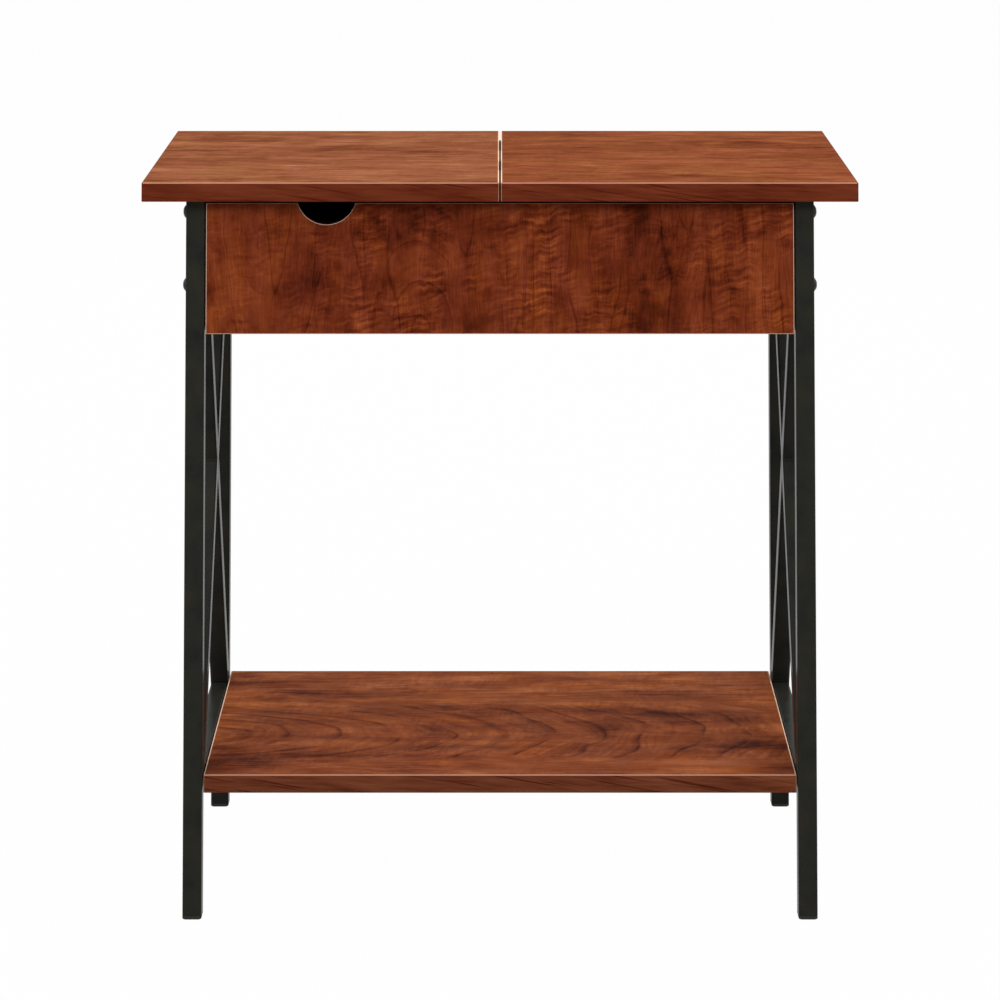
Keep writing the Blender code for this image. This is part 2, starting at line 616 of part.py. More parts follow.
def leaf_mesh(name, way, knuckles):
    """Hinge leaf about the pin's axis along Y: a plate, and a short web to each of its knuckles."""
    half_length = HINGE_LENGTH / 2
    low, high = on_side(way, (SEAM_HALF, -half_length, LEAF_LOW_Z),
                        (SEAM_HALF + LEAF_THICKNESS, half_length, LEAF_TOP_Z))
    centre = middle(low, high)
    leaf = place(name, box_mesh(name, extent(low, high)), HINGE_STEEL, centre)
    pitch = HINGE_LENGTH / KNUCKLE_COUNT
    half = (pitch - CLEARANCE) / 2
    helpers = []
    for index in knuckles:
        y = (index + 0.5) * pitch - half_length
        web = box_guide(f"{name}_web_{index}", *on_side(
            way, (PIN_RADIUS, y - half + WEB_MARGIN, WEB_MARGIN - KNUCKLE_RADIUS),
            (SEAM_HALF + LEAF_THICKNESS / 2, y + half - WEB_MARGIN, LEAF_TOP_Z - WEB_MARGIN)))
        barrel = hole_guide(f"{name}_knuckle_{index}", (0.0, y - half, 0.0), (0.0, y + half, 0.0),
                            KNUCKLE_RADIUS)
        combine(leaf, web, "UNION")
        combine(leaf, barrel, "UNION")
        helpers += [web, barrel]
    bore = hole_guide(name + "_bore", (0.0, -HINGE_LENGTH, 0.0), (0.0, HINGE_LENGTH, 0.0),
                      PIN_RADIUS + CLEARANCE)
    cut(leaf, bore)
    helpers.append(bore)
    countersink = cone_mesh("countersink", LEAF_COUNTERSINK_RADIUS, LEAF_THICKNESS + 2 * WEB_MARGIN,
                            LEAF_HOLE_RADIUS)
    for y in (-LEAF_HOLE_SPACING / 2, LEAF_HOLE_SPACING / 2):
        spot = centre.translation + Vector((0.0, y, 0.0))
        hole = guide(f"{name}_screw_hole", countersink, along((way, 0.0, 0.0), spot))
        cut(leaf, hole)
        helpers.append(hole)
    mesh = settled(leaf)
    mesh.transform(centre)
    for helper in helpers:
        bpy.data.objects.remove(helper)
    return mesh


def fit_hinges(flap):
    """Two butt hinges in the seam; the flap and its leaves hang from an empty on the pins' axis."""
    axis = bpy.data.objects.new("flap_hinge_axis", None)
    axis.location = (0.0, 0.0, PIN_Z)
    PARTS.objects.link(axis)
    fixed_leaf = leaf_mesh("fixed_leaf", SIDES["right"], range(0, KNUCKLE_COUNT, 2))
    flap_leaf = leaf_mesh("flap_leaf", SIDES["left"], range(1, KNUCKLE_COUNT, 2))
    pin = cone_mesh("hinge_pin", PIN_RADIUS, HINGE_LENGTH + 2 * PIN_OVERRUN)
    moving = [flap]
    for end, way in ENDS.items():
        spot = Matrix.Translation((0.0, way * HINGE_SPACING / 2, PIN_Z))
        place(end + "_hinge_fixed_leaf", fixed_leaf, HINGE_STEEL, spot)
        moving.append(place(end + "_hinge_flap_leaf", flap_leaf, HINGE_STEEL, spot))
        place(end + "_hinge_pin", pin, HINGE_STEEL, spot @ along((0.0, 1.0, 0.0), (0.0, 0.0, 0.0)))
    bpy.context.view_layer.update()
    for piece in moving:
        piece.parent = axis
        piece.matrix_parent_inverse = axis.matrix_world.inverted()


def main():
    flap, fixed = build_top()
    front, back, _ = build_box()
    legs = build_legs()
    rails = build_side_frames()
    shelf = build_shelf()
    fit_frame_bolts(legs, front, back)
    fit_shelf_screws(rails, shelf)
    fit_top_screws(rails["right", "upper"], fixed)
    fit_dowels({"front": front, "rear": back}, fixed)
    fit_hinges(flap)


main()
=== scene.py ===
import math

import bpy
import numpy as np
from mathutils import Matrix, Vector


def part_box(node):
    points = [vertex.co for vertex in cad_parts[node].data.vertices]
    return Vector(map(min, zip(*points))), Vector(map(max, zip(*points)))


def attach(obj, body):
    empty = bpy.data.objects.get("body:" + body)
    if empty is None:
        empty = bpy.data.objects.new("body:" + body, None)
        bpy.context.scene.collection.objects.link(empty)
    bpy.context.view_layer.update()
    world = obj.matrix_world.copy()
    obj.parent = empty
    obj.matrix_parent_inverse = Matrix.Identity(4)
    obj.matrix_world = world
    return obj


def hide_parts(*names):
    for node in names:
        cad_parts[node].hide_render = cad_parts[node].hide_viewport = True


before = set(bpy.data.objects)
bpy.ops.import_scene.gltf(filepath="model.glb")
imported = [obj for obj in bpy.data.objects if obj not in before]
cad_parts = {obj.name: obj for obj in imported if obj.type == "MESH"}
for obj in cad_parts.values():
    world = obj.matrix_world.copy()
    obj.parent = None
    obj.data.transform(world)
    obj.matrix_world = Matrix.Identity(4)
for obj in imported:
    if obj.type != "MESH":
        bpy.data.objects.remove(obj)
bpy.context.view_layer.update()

# Flip-top side table: cherry laminate boards between two crossed side frames of black square tube.
# Metres, in the frame's own axes: the front faces -Y, the left side is -X and the floor is at Z 0.
MM = 0.001
SIDES = {"left": -1.0, "right": 1.0}
ENDS = {"front": -1.0, "rear": 1.0}
LEVELS = ("upper", "lower")

# Boards
BOARD_EASE = 0.8 * MM          # round on the arrises of the top and the shelf
PANEL_EASE = 0.7 * MM          # round on the arrises of the box
DIVIDER_EASE = 0.6 * MM
BOTTOM_EASE = 0.3 * MM
SHADOW_LINE_HEIGHT = 2.5 * MM  # the front panel's face stops this far below the top
SHADOW_LINE_DEPTH = 3.0 * MM
BOARD_CORNER = 1.1 * MM        # round on the upright corners
CORNER_SIDE = 0.6 * MM         # only the sides of a round corner's outline are as short as this
CORNER_SLANT = 0.3             # those that slant by more than this share of their length take the painted highlight
HOLD = 0.1 * MM                # width of the strip that keeps a flat face flat up to its round edge
NEAR = 0.01 * MM               # points closer than this to a line lie on it
EASE_STEPS = 5
SHARP_ANGLE = math.radians(32)
# Zones of a board: face, edge band, painted shade, painted highlight on the arris, and by the seam
FACE_ZONE, EDGE_ZONE, PAINTED_SHADE_ZONE, ARRIS_HIGHLIGHT_ZONE, SEAM_HIGHLIGHT_ZONE = range(5)

# Seam, hinges and the pockets for their leaves
SEAM_CREEP = 0.8 * MM          # how far each half of the top reaches into the seam
SEAM_SPREAD = 1.4              # the arris beside the seam is this much wider than the others, with the seam's painted highlight
POCKET_LENGTH = 50.6 * MM
POCKET_DEPTH = 1.3 * MM
POCKET_LEVELS = (2.5 * MM, 13.3 * MM)
POCKET_FLOOR = 0.998           # share of a pocket's length that is sunk in full
POCKET_STEP = 0.03 * MM        # half the rise of the step into a pocket
LEAF_THICKNESS = 0.9 * MM
LEAF_INSET = 0.05 * MM         # the leaf's face lies this far inside the pocket
LEAF_PLAY = 0.2 * MM           # between a leaf and the floor and roof of its pocket
LEAF_END_PLAY = 0.4 * MM
LEAF_CORNER = 1.0 * MM
LEAF_EASE = 0.15 * MM
KNUCKLE_PITCH = 10.0 * MM
KNUCKLE_LENGTH = 9.8 * MM
KNUCKLE_RADIUS = 0.68 * MM
KNUCKLE_CURL = 285.0           # degrees that a knuckle goes round its pin
KNUCKLE_STEPS = 24
PIN_RADIUS = 0.31 * MM
PIN_PLAY = 0.03 * MM
PIN_SIDES = 20
PIN_HEAD = ((0.20, 0.40), (0.48, 0.28), (0.60, 0.00))     # radius, and height past the knuckles, in mm
NECK_REACH = 4.0 * MM          # how far a knuckle's strip runs down over its leaf
HINGE_SCREW_FROM_MIDDLE = 15.0 * MM
HINGE_SCREW_LENGTH = 9.0 * MM
HINGE_SPACING = 109.0 * MM

# Finger notch in the front panel
NOTCH_RADIUS = 25.5 * MM
NOTCH_FROM_PANEL_END = 101.6 * MM
NOTCH_CENTRE_RISE = 5.0 * MM
NOTCH_STEPS = 72
RIM_SPREAD = 0.5               # the arris round the notch and along the panel's top is this much finer

# Square tube, its welds and its foot plugs
TUBE = 16.0 * MM
TUBE_CORNER = 2.0 * MM
TUBE_STEPS = 6
TUBE_GAP = 0.3 * MM
WELD_RADIUS = 1.0 * MM
WELD_RIPPLE = 1.7 * MM         # length of one ripple along a bead
WELD_SWELL = 0.10              # share of its radius by which a ripple rises and falls
WELD_SIDES = 10
WELD_STEPS = 4                 # points along each ripple
# A foot's rim, from its chamfered sole to a fine shadow line under the tube: how far it is drawn in,
# and its height, in mm
FOOT_RIM = ((1.1, 0.0), (0.35, 0.55), (0.0, 1.05), (0.0, 2.55), (0.25, 2.95), (0.45, 3.0))
FOOT_STEM = 12.0 * MM
FOOT_STEM_INSET = 1.5 * MM     # the tube's wall and the play inside it
FOOT_STEM_CHAMFER = 0.8 * MM

# Fasteners: radius of the shank and of the head, the head's height, its hex socket across the flats and
# that socket's depth, and the chamfer of the tip. A barrel nut's face stands proud and has a slot.
BOLT = {"shank": 3.0 * MM, "head": 6.0 * MM, "height": 3.0 * MM, "socket": 4.0 * MM,
        "depth": 1.8 * MM, "chamfer": 0.8 * MM}
SCREW = {"shank": 2.0 * MM, "head": 4.5 * MM, "height": 2.4 * MM, "socket": 3.0 * MM,
         "depth": 1.4 * MM, "chamfer": 0.8 * MM}
HINGE_SCREW = {"shank": 0.9 * MM, "head": 2.0 * MM, "height": 0.22 * MM, "socket": 1.1 * MM,
               "depth": 0.6 * MM, "chamfer": 0.4 * MM}
NUT = {"radius": 5.0 * MM, "slot": 1.2 * MM, "depth": 1.5 * MM, "proud": 0.25 * MM}
NUT_CHORDS = (-0.98, -0.90, -0.75, -0.50, -0.25)     # on one side of a nut's slot, in radii
NUT_STEPS = 16                 # sides along each chord
SOCKET_RIM = 0.25 * MM         # width of the chamfer at a socket's mouth
SOCKET_LIP = 0.12 * MM         # height of that chamfer
HEAD_ROUND = 0.15 * MM         # round at the foot of the dome
HEAD_EDGE = 0.12               # share of the head's height that is its upright edge
DOME_STEPS = 8
ROUND = 48                     # points round a turned piece

# Camera: its place, and the photograph's frame in pixels
CAMERA_DISTANCE = 2.700
CAMERA_HEIGHT = 1.040
CAMERA_TILT = math.radians(3.0)
SENSOR_WIDTH = 36.0
FRAME_PIXELS = 1000.0
FOCAL_PIXELS = 3010.5
HORIZON_ROW = -487.2

# Studio: the floor's half width, and the lamps' target and their names, places, sides and powers
FLOOR_HALF = 8.0
FLOOR_TONE = "#b6b6b4"
FLOOR_WHITE = 0.985            # share of the floor that cameras see as plain white, over its shadow
FILL_LIGHT = 0.20              # strength of the world where it only gives light
LAMP_TARGET = (0.0, 0.0, 0.35)
LAMPS = (
    ("overhead", (0.0, -0.2, 2.8), 2.0, 31.0),
    ("front_left", (-1.4, -2.4, 2.7), 1.4, 50.0),
    ("front_right", (1.6, -2.4, 2.6), 1.4, 38.0),
    ("left_side", (-2.4, -0.2, 1.9), 1.6, 26.0),
    ("right_side", (2.4, -0.2, 1.9), 1.6, 26.0),
    ("behind", (0.0, 2.6, 1.7), 2.0, 52.0),
)


def linear(code):
    """An sRGB hex colour as linear red, green, blue and alpha."""
    parts = np.array([int(code[i:i + 2], 16) for i in (1, 3, 5)]) / 255.0
    flat = np.where(parts <= 0.04045, parts / 12.92, ((parts + 0.055) / 1.055) ** 2.4)
    return (*flat.tolist(), 1.0)


def add(tree, kind, inputs=(), output=0, stops=(), **settings):
    """Add one node and return an output. Inputs are its values and links, and settings its properties, or
    those of its colour ramp where stops gives the ramp's (place, linear colour) pairs."""
    made = tree.nodes.new("ShaderNode" + kind)
    for name, value in settings.items():
        setattr(made.color_ramp if stops else made, name, value)
    for key, value in dict(inputs).items():
        if isinstance(value, bpy.types.NodeSocket):
            tree.links.new(value, made.inputs[key])
        else:
            made.inputs[key].default_value = value
    if stops:
        elements = made.color_ramp.elements
        elements.remove(elements[-1])
        elements[0].position, elements[0].color = stops[0]
        for place, colour in stops[1:]:
            elements.new(place).color = colour
    return made.outputs[output]


def shades(tones):
    """Stops of a colour ramp from (place, hex colour) pairs."""
    return [(place, linear(code)) for place, code in tones]


def new_finish(name, turn=(0.0, 0.0, 0.0)):
    """A new material with its node tree, its Principled shader and the turned Object coordinates in mm."""
    material = bpy.data.materials.new(name)
    material.use_nodes = True
    tree = material.node_tree
    spot = add(tree, "Mapping", {"Vector": add(tree, "TexCoord", output="Object"), "Rotation": turn,
                                 "Scale": (1 / MM,) * 3})
    return material, tree, tree.nodes["Principled BSDF"], spot


# Wood figure. A laminate's paper is printed with planks: strips side by side, each sawn from its own log.
# On a strip, a growth ring is where the distance from the log's heart is the same. The heart rises or
# falls along the grain, so rings come out as nested arches that point along it, or as straight lines far
# from the heart. A strip's columns are its start, its log's heart, that heart's rise and depth, the
# spacing of the rings, the tone, the curl, the strength of the rings and the slope of the grain, with
# lengths in mm. Colour ramps hold these values, and a ramp takes no negative value: hence the offsets.
STRIP_COLUMNS = ("start", "heart", "rise", "depth", "spacing", "tone", "curl", "rings", "slope")
HEART_OFFSET, RISE_OFFSET, DEPTH_OFFSET, TONE_OFFSET, SLOPE_OFFSET = 800.0, 2.0, 2000.0, 0.5, 1.0
STRIP_JOINT = 8.0              # ring lines fade out over this width at each side of a strip
# The top's tones are partly its print, partly painted sheen and top light: paler, greener and bluer than
# the panels'
FLAP_TONES_AND_PAINTED_SHEEN = ((0.00, "#36190c"), (0.20, "#542713"), (0.42, "#6f3c21"), (0.60, "#7f4b2e"),
              (0.80, "#945f3f"), (1.00, "#af7d57"))
FIXED_TONES_AND_PAINTED_SHEEN = ((0.00, "#36160a"), (0.20, "#50230f"), (0.42, "#693419"), (0.60, "#7a4223"),
               (0.80, "#8e5432"), (1.00, "#a97248"))
PANEL_TONES = ((0.00, "#260d06"), (0.20, "#45190c"), (0.42, "#662914"), (0.60, "#7d391d"),
               (0.80, "#984b25"), (1.00, "#b46533"))
SHELF_TONES = ((0.00, "#37170c"), (0.20, "#532513"), (0.42, "#6c351b"), (0.60, "#7e4223"),
               (0.80, "#96562f"), (1.00, "#b17041"))
EDGE_TONES = ((0.00, "#3e1408"), (0.25, "#572011"), (0.55, "#682e1b"), (1.00, "#7b3a26"))
SHELF_EDGE_TONES = ((0.00, "#411c10"), (0.25, "#5b2b1b"), (0.55, "#6d3a26"), (1.00, "#814933"))
# Painted highlights: pale lines on the rounded arrises and corners, paler beside the seam, where light
# glances off the round
ARRIS_HIGHLIGHT_TONE = "#ad7d66"
SHELF_ARRIS_HIGHLIGHT_TONE = "#ac7f69"
PANEL_ARRIS_HIGHLIGHT_TONE = "#c8a794"
SEAM_HIGHLIGHT_TONE = "#d9b69c"
# Painted shade: near black on the notch's edge and on the rebate's face under the top, where shade falls
PAINTED_SHADE_TONE = "#140905"
# Darkness of a ring line by its place in the ring
RING_PROFILE = ((0.00, 0.50), (0.025, 0.0), (0.40, 0.0), (0.44, 0.30), (0.48, 0.0), (0.60, 0.0),
                (0.90, 0.26), (0.955, 0.40), (0.98, 1.0))
SOFT_PROFILE = ((0.00, 0.30), (0.05, 0.0), (0.30, 0.0), (0.35, 0.20), (0.41, 0.0), (0.58, 0.0),
                (0.64, 0.14), (0.70, 0.04), (0.88, 0.36), (0.95, 0.74), (0.985, 1.0))
FRONT_STRIPS = (
    (-248, -196, -0.25, 160, 13.0, 0.02, 0.30, 0.07, 0.00),
    (-170, -300, 0.00, 0, 14.0, -0.03, 0.45, 0.28, -0.27),
    (-119, -67, 0.52, -249, 16.4, 0.00, 0.80, 0.15, 0.00),
    (-35, -190, 0.00, 0, 13.0, -0.02, 0.50, 0.18, 0.05),
    (14, -160, 0.00, 0, 17.0, 0.01, 0.80, 0.20, 0.05),
    (88, 300, 0.00, 0, 16.0, -0.08, 0.60, 0.12, 0.10),
    (128, 320, 0.00, 0, 11.0, -0.04, 0.40, 0.13, 0.30),
    (168, 380, 0.00, 0, 15.0, 0.02, 0.65, 0.20, -0.06),
)
BACK_STRIPS = (
    (-248, -196, 0.52, -249, 16.4, 0.02, 0.70, 0.30, 0.00),
    (-128, -400, 0.00, 0, 15.0, 0.04, 0.90, 0.26, 0.06),
    (-40, 30, -0.25, 160, 13.0, -0.03, 0.40, 0.12, 0.00),
    (96, 300, 0.00, 0, 14.0, 0.00, 0.80, 0.28, 0.20),
    (190, 420, 0.00, 0, 12.0, 0.04, 0.60, 0.24, 0.03),
)
END_STRIPS = (
    (-125, -72, 0.52, -249, 16.4, 0.02, 0.70, 0.28, 0.00),
    (-14, 220, 0.00, 0, 14.0, -0.03, 0.80, 0.26, 0.10),
    (60, 100, -0.25, 160, 13.0, 0.03, 0.50, 0.12, 0.00),
)
SHELF_STRIPS = (
    (-131, -430, 0.00, 0, 9.0, -0.05, 0.20, 0.20, 0.02),
    (-95, -36, 0.34, 96, 15.0, -0.055, 0.34, 0.40, 0.00),
    (42, 330, 0.00, 0, 8.0, 0.04, 0.30, 0.30, 0.04),
)
FLAP_STRIPS = (
    (-143, 330, 0.00, 0, 9.0, 0.03, 0.15, 0.14, 0.04),
    (-48, -390, 0.00, 0, 8.0, -0.03, 0.18, 0.22, 0.03),
    (52, 420, 0.00, 0, 9.0, 0.00, 0.15, 0.18, 0.03),
)
FIXED_STRIPS = (
    (-143, -330, 0.00, 0, 9.0, 0.02, 0.15, 0.14, 0.03),
    (-30, 380, 0.00, 0, 8.0, -0.03, 0.18, 0.22, 0.05),
    (70, -420, 0.00, 0, 9.0, -0.01, 0.15, 0.16, 0.03),
)

# Smoky patches and light ones in the print: middle along and across the grain, half length and half
# width, in mm, and how dark each is
FRONT_CLOUDS = (
    (530, -159, 34, 26, 0.20), (568, -176, 36, 18, 0.14), (578, -93, 20, 34, 0.18),
    (523, -108, 20, 26, 0.15), (576, -55, 26, 36, 0.18), (516, -51, 30, 20, 0.16),
    (576, 120, 36, 40, 0.16), (539, 124, 22, 46, 0.20), (503, 127, 40, 34, 0.20),
    (570, 10, 16, 40, 0.12), (530, 187, 16, 16, 0.20), (520, -244, 24, 14, 0.15),
    (518, 220, 70, 22, -0.12), (573, 97, 36, 10, -0.20), (513, -220, 36, 32, -0.12),
    (545, -104, 22, 18, -0.10),
)
SHELF_CLOUDS = (
    (-236, -108, 60, 30, 0.46), (-182, -84, 100, 20, 0.30), (-52, -26, 34, 24, 0.40),
    (-28, 24, 70, 20, 0.20), (142, 18, 80, 20, 0.40), (222, -64, 80, 26, 0.44),
    (94, -18, 28, 34, 0.22), (-150, 60, 130, 24, 0.20), (170, -118, 70, 22, -0.26),
    (-238, 20, 36, 70, -0.20), (-138, -30, 40, 24, -0.24), (30, -60, 90, 26, -0.12),
    (254, 0, 34, 34, -0.40), (-225, 98, 60, 34, 0.18), (236, 98, 60, 34, 0.16),
    (234, -114, 44, 16, 0.24), (-110, -112, 130, 18, 0.12),
)
FLAP_CLOUDS = (
    (-140, 44, 34, 20, 0.20), (-60, 18, 50, 9, 0.24), (-70, 74, 40, 20, 0.12),
    (-240, 100, 120, 30, 0.12), (-90, -40, 130, 60, -0.06),
)
FIXED_CLOUDS = (
    (212, 70, 60, 22, 0.30), (50, 40, 40, 16, 0.20), (150, -110, 60, 20, 0.22),
    (110, -20, 130, 30, -0.12),
)


def streaks(tree, spot, along, across, seed, detail=3.0, roughness=0.5):
    """Uneven tone, drawn out along the grain: its lengths along and across the grain are in mm. The seed
    moves to another part of the pattern."""
    scaled = add(tree, "Mapping", {"Vector": spot, "Location": (seed, seed * 0.37, seed * 0.71),
                                   "Scale": (1 / along, 1 / across, 1 / across)})
    return add(tree, "TexNoise", {"Vector": scaled, "Scale": 1.0, "Detail": detail,
                                  "Roughness": roughness})


def strip_at(tree, v, end, strips):
    """What the strip at v, across the grain, is like: its values by name. Tones blend where strips meet,
    and the strength of the rings fades out there."""
    rows = [dict(zip(STRIP_COLUMNS, strip)) for strip in strips]
    start = rows[0]["start"]
    soft = STRIP_JOINT / (end - start)
    places = [(row["start"] - start) / (end - start) for row in rows]
    part = add(tree, "MapRange", {"Value": v, "From Min": start, "From Max": end})
    log = add(tree, "ValToRGB", {"Fac": part}, interpolation="CONSTANT", stops=[
        (place, (row["heart"] + HEART_OFFSET, row["rise"] + RISE_OFFSET, row["depth"] + DEPTH_OFFSET,
                 row["spacing"])) for place, row in zip(places, rows)])
    slope = add(tree, "ValToRGB", {"Fac": part}, interpolation="CONSTANT", stops=[
        (place, (row["slope"] + SLOPE_OFFSET,) * 3 + (1.0,)) for place, row in zip(places, rows)])
    look = add(tree, "ValToRGB", {"Fac": part}, stops=[
        (stop, (row["tone"] + TONE_OFFSET, row["curl"], strength, 1.0))
        for place, following, row in zip(places, places[1:] + [1.0 + soft], rows)
        for stop, strength in ((place, 0.0), (place + soft, row["rings"]),
                               (following - soft, row["rings"]))])
    heart, rise, depth = add(tree, "SeparateColor", {"Color": log}).node.outputs
    tone, curl, rings = add(tree, "SeparateColor", {"Color": look}).node.outputs
    return {"heart": heart, "rise": rise, "depth": depth, "spacing": log.node.outputs["Alpha"],
            "slope": slope, "tone": tone, "curl": curl, "rings": rings}


def ring_age(tree, u, drift, spot, strip, seed, uneven):
    """Age of the wood in mm: the distance from the log's heart, which rises or falls along the grain, with
    what the slope of the grain and uneven years add."""
    aside = add(tree, "Math", {0: drift, 1: strip["heart"]}, operation="SUBTRACT")
    aside = add(tree, "Math", {0: aside, 1: HEART_OFFSET}, operation="ADD")
    climb = add(tree, "Math", {0: strip["rise"], 1: RISE_OFFSET}, operation="SUBTRACT")
    below = add(tree, "Math", {0: u, 1: climb, 2: strip["depth"]}, operation="MULTIPLY_ADD")
    below = add(tree, "Math", {0: below, 1: DEPTH_OFFSET}, operation="SUBTRACT")
    offset = add(tree, "CombineXYZ", {"X": aside, "Y": below})
    away = add(tree, "VectorMath", {0: offset}, output="Value", operation="LENGTH")
    lean = add(tree, "Math", {0: strip["slope"], 1: SLOPE_OFFSET}, operation="SUBTRACT")
    age = add(tree, "Math", {0: u, 1: lean, 2: away}, operation="MULTIPLY_ADD")
    years = streaks(tree, spot, 80.0, 50.0, seed + 71.0, 1.0)
    return add(tree, "Math", {0: years, 1: uneven, 2: age}, operation="MULTIPLY_ADD")


def ring_lines(tree, age, spot, strip, seed, profile):
    """Dark ring lines, which fade here and there: the age is counted in rings, and the place in a ring
    gives how dark it is."""
    turns = add(tree, "Math", {0: age, 1: strip["spacing"]}, operation="DIVIDE")
    phase = add(tree, "Math", {0: turns}, operation="FRACT")
    line = add(tree, "ValToRGB", {"Fac": phase},
               stops=[(place, (dark, dark, dark, 1.0)) for place, dark in profile])
    fading = streaks(tree, spot, 60.0, 24.0, seed + 7.7, 1.0)
    fading = add(tree, "MapRange", {"Value": fading, "From Min": 0.34, "From Max": 0.60})
    for strength in (fading, strip["rings"]):
        line = add(tree, "Math", {0: line, 1: strength}, operation="MULTIPLY")
    return line


def gum_lines(tree, flow, seed, darkness):
    """Thin dark lines that follow the edge of a slow change of tone."""
    gum = streaks(tree, flow, 230.0, 34.0, seed + 51.3, 1.0)
    gum = add(tree, "Math", {0: gum, 1: 0.5}, operation="SUBTRACT")
    gum = add(tree, "Math", {0: gum}, operation="ABSOLUTE")
    return add(tree, "MapRange", {"Value": gum, "From Min": 0.002, "From Max": 0.011, "To Min": darkness,
                                  "To Max": 0.0})


def curl_ripples(tree, axes, spot, shake, strip, seed, strength):
    """Curl: ripples of light and shade across the grain, in patches."""
    u, v, w = axes
    tilted = add(tree, "Math", {0: v, 1: -0.16, 2: u}, operation="MULTIPLY_ADD")
    tilted = add(tree, "Math", {0: shake, 1: 11.0, 2: tilted}, operation="MULTIPLY_ADD")
    across = add(tree, "CombineXYZ", {"X": tilted, "Y": v, "Z": w})
    ripple = streaks(tree, across, 3.6, 19.0, seed + 31.7, 2.0)
    ripple = add(tree, "Math", {0: ripple, 1: 0.5}, operation="SUBTRACT")
    patch = streaks(tree, spot, 44.0, 26.0, seed + 37.3, 1.0)
    patch = add(tree, "MapRange", {"Value": patch, "From Min": 0.34, "From Max": 0.58, "To Max": strength})
    patch = add(tree, "Math", {0: patch, 1: strip["curl"]}, operation="MULTIPLY")
    return add(tree, "Math", {0: ripple, 1: patch}, operation="MULTIPLY")


def cloud_smoke(tree, u, drift, shake, smudge, clouds):
    """How dark the clouds are: each fades from its middle, and all are thinner where a smudge is light."""
    along = add(tree, "Math", {0: shake, 1: 26.0, 2: u}, operation="MULTIPLY_ADD")
    along = add(tree, "Math", {0: along, 1: 13.0}, operation="SUBTRACT")
    hazy = add(tree, "CombineXYZ", {"X": along, "Y": drift})
    smoke = 0.0
    for middle_u, middle_v, half_length, half_width, darkness in clouds:
        near = add(tree, "Mapping", {"Vector": hazy, "Scale": (1 / half_length, 1 / half_width, 0.0),
                                     "Location": (-middle_u / half_length, -middle_v / half_width, 0.0)})
        near = add(tree, "TexGradient", {"Vector": near}, output="Fac", gradient_type="SPHERICAL")
        smoke = add(tree, "Math", {0: near, 1: darkness, 2: smoke}, operation="MULTIPLY_ADD")
    thick = add(tree, "MapRange", {"Value": smudge, "From Min": 0.34, "From Max": 0.66, "To Min": 1.3,
                                   "To Max": 0.5})
    return add(tree, "Math", {0: smoke, 1: thick}, operation="MULTIPLY")


def edge_band(tree, axes, seed, tones):
    """Colour of the edge band, whose length runs along either side of the board: fine fibres, and a few
    dark lines that slant across it."""
    u, v, w = axes
    length = add(tree, "Math", {0: u, 1: v}, operation="ADD")
    slants = [add(tree, "Math", {0: length, 1: slant, 2: w}, operation="MULTIPLY_ADD")
              for slant in (0.03, 0.17)]
    gentle, steep = [add(tree, "CombineXYZ", {"X": length, "Y": height}) for height in slants]
    streak = streaks(tree, gentle, 30.0, 2.2, seed + 41.0, 4.0, 0.6)
    slash = streaks(tree, steep, 130.0, 2.4, seed + 47.0, 1.0)
    slash = add(tree, "MapRange", {"Value": slash, "From Min": 0.61, "From Max": 0.71, "To Max": 0.50})
    shade = streaks(tree, steep, 90.0, 12.0, seed + 53.0, 2.0)
    streak = add(tree, "Math", {0: shade, 1: 0.9, 2: streak}, operation="MULTIPLY_ADD")
    for less in (0.45, slash):
        streak = add(tree, "Math", {0: streak, 1: less}, operation="SUBTRACT")
    return add(tree, "ValToRGB", {"Fac": streak}, stops=shades(tones))


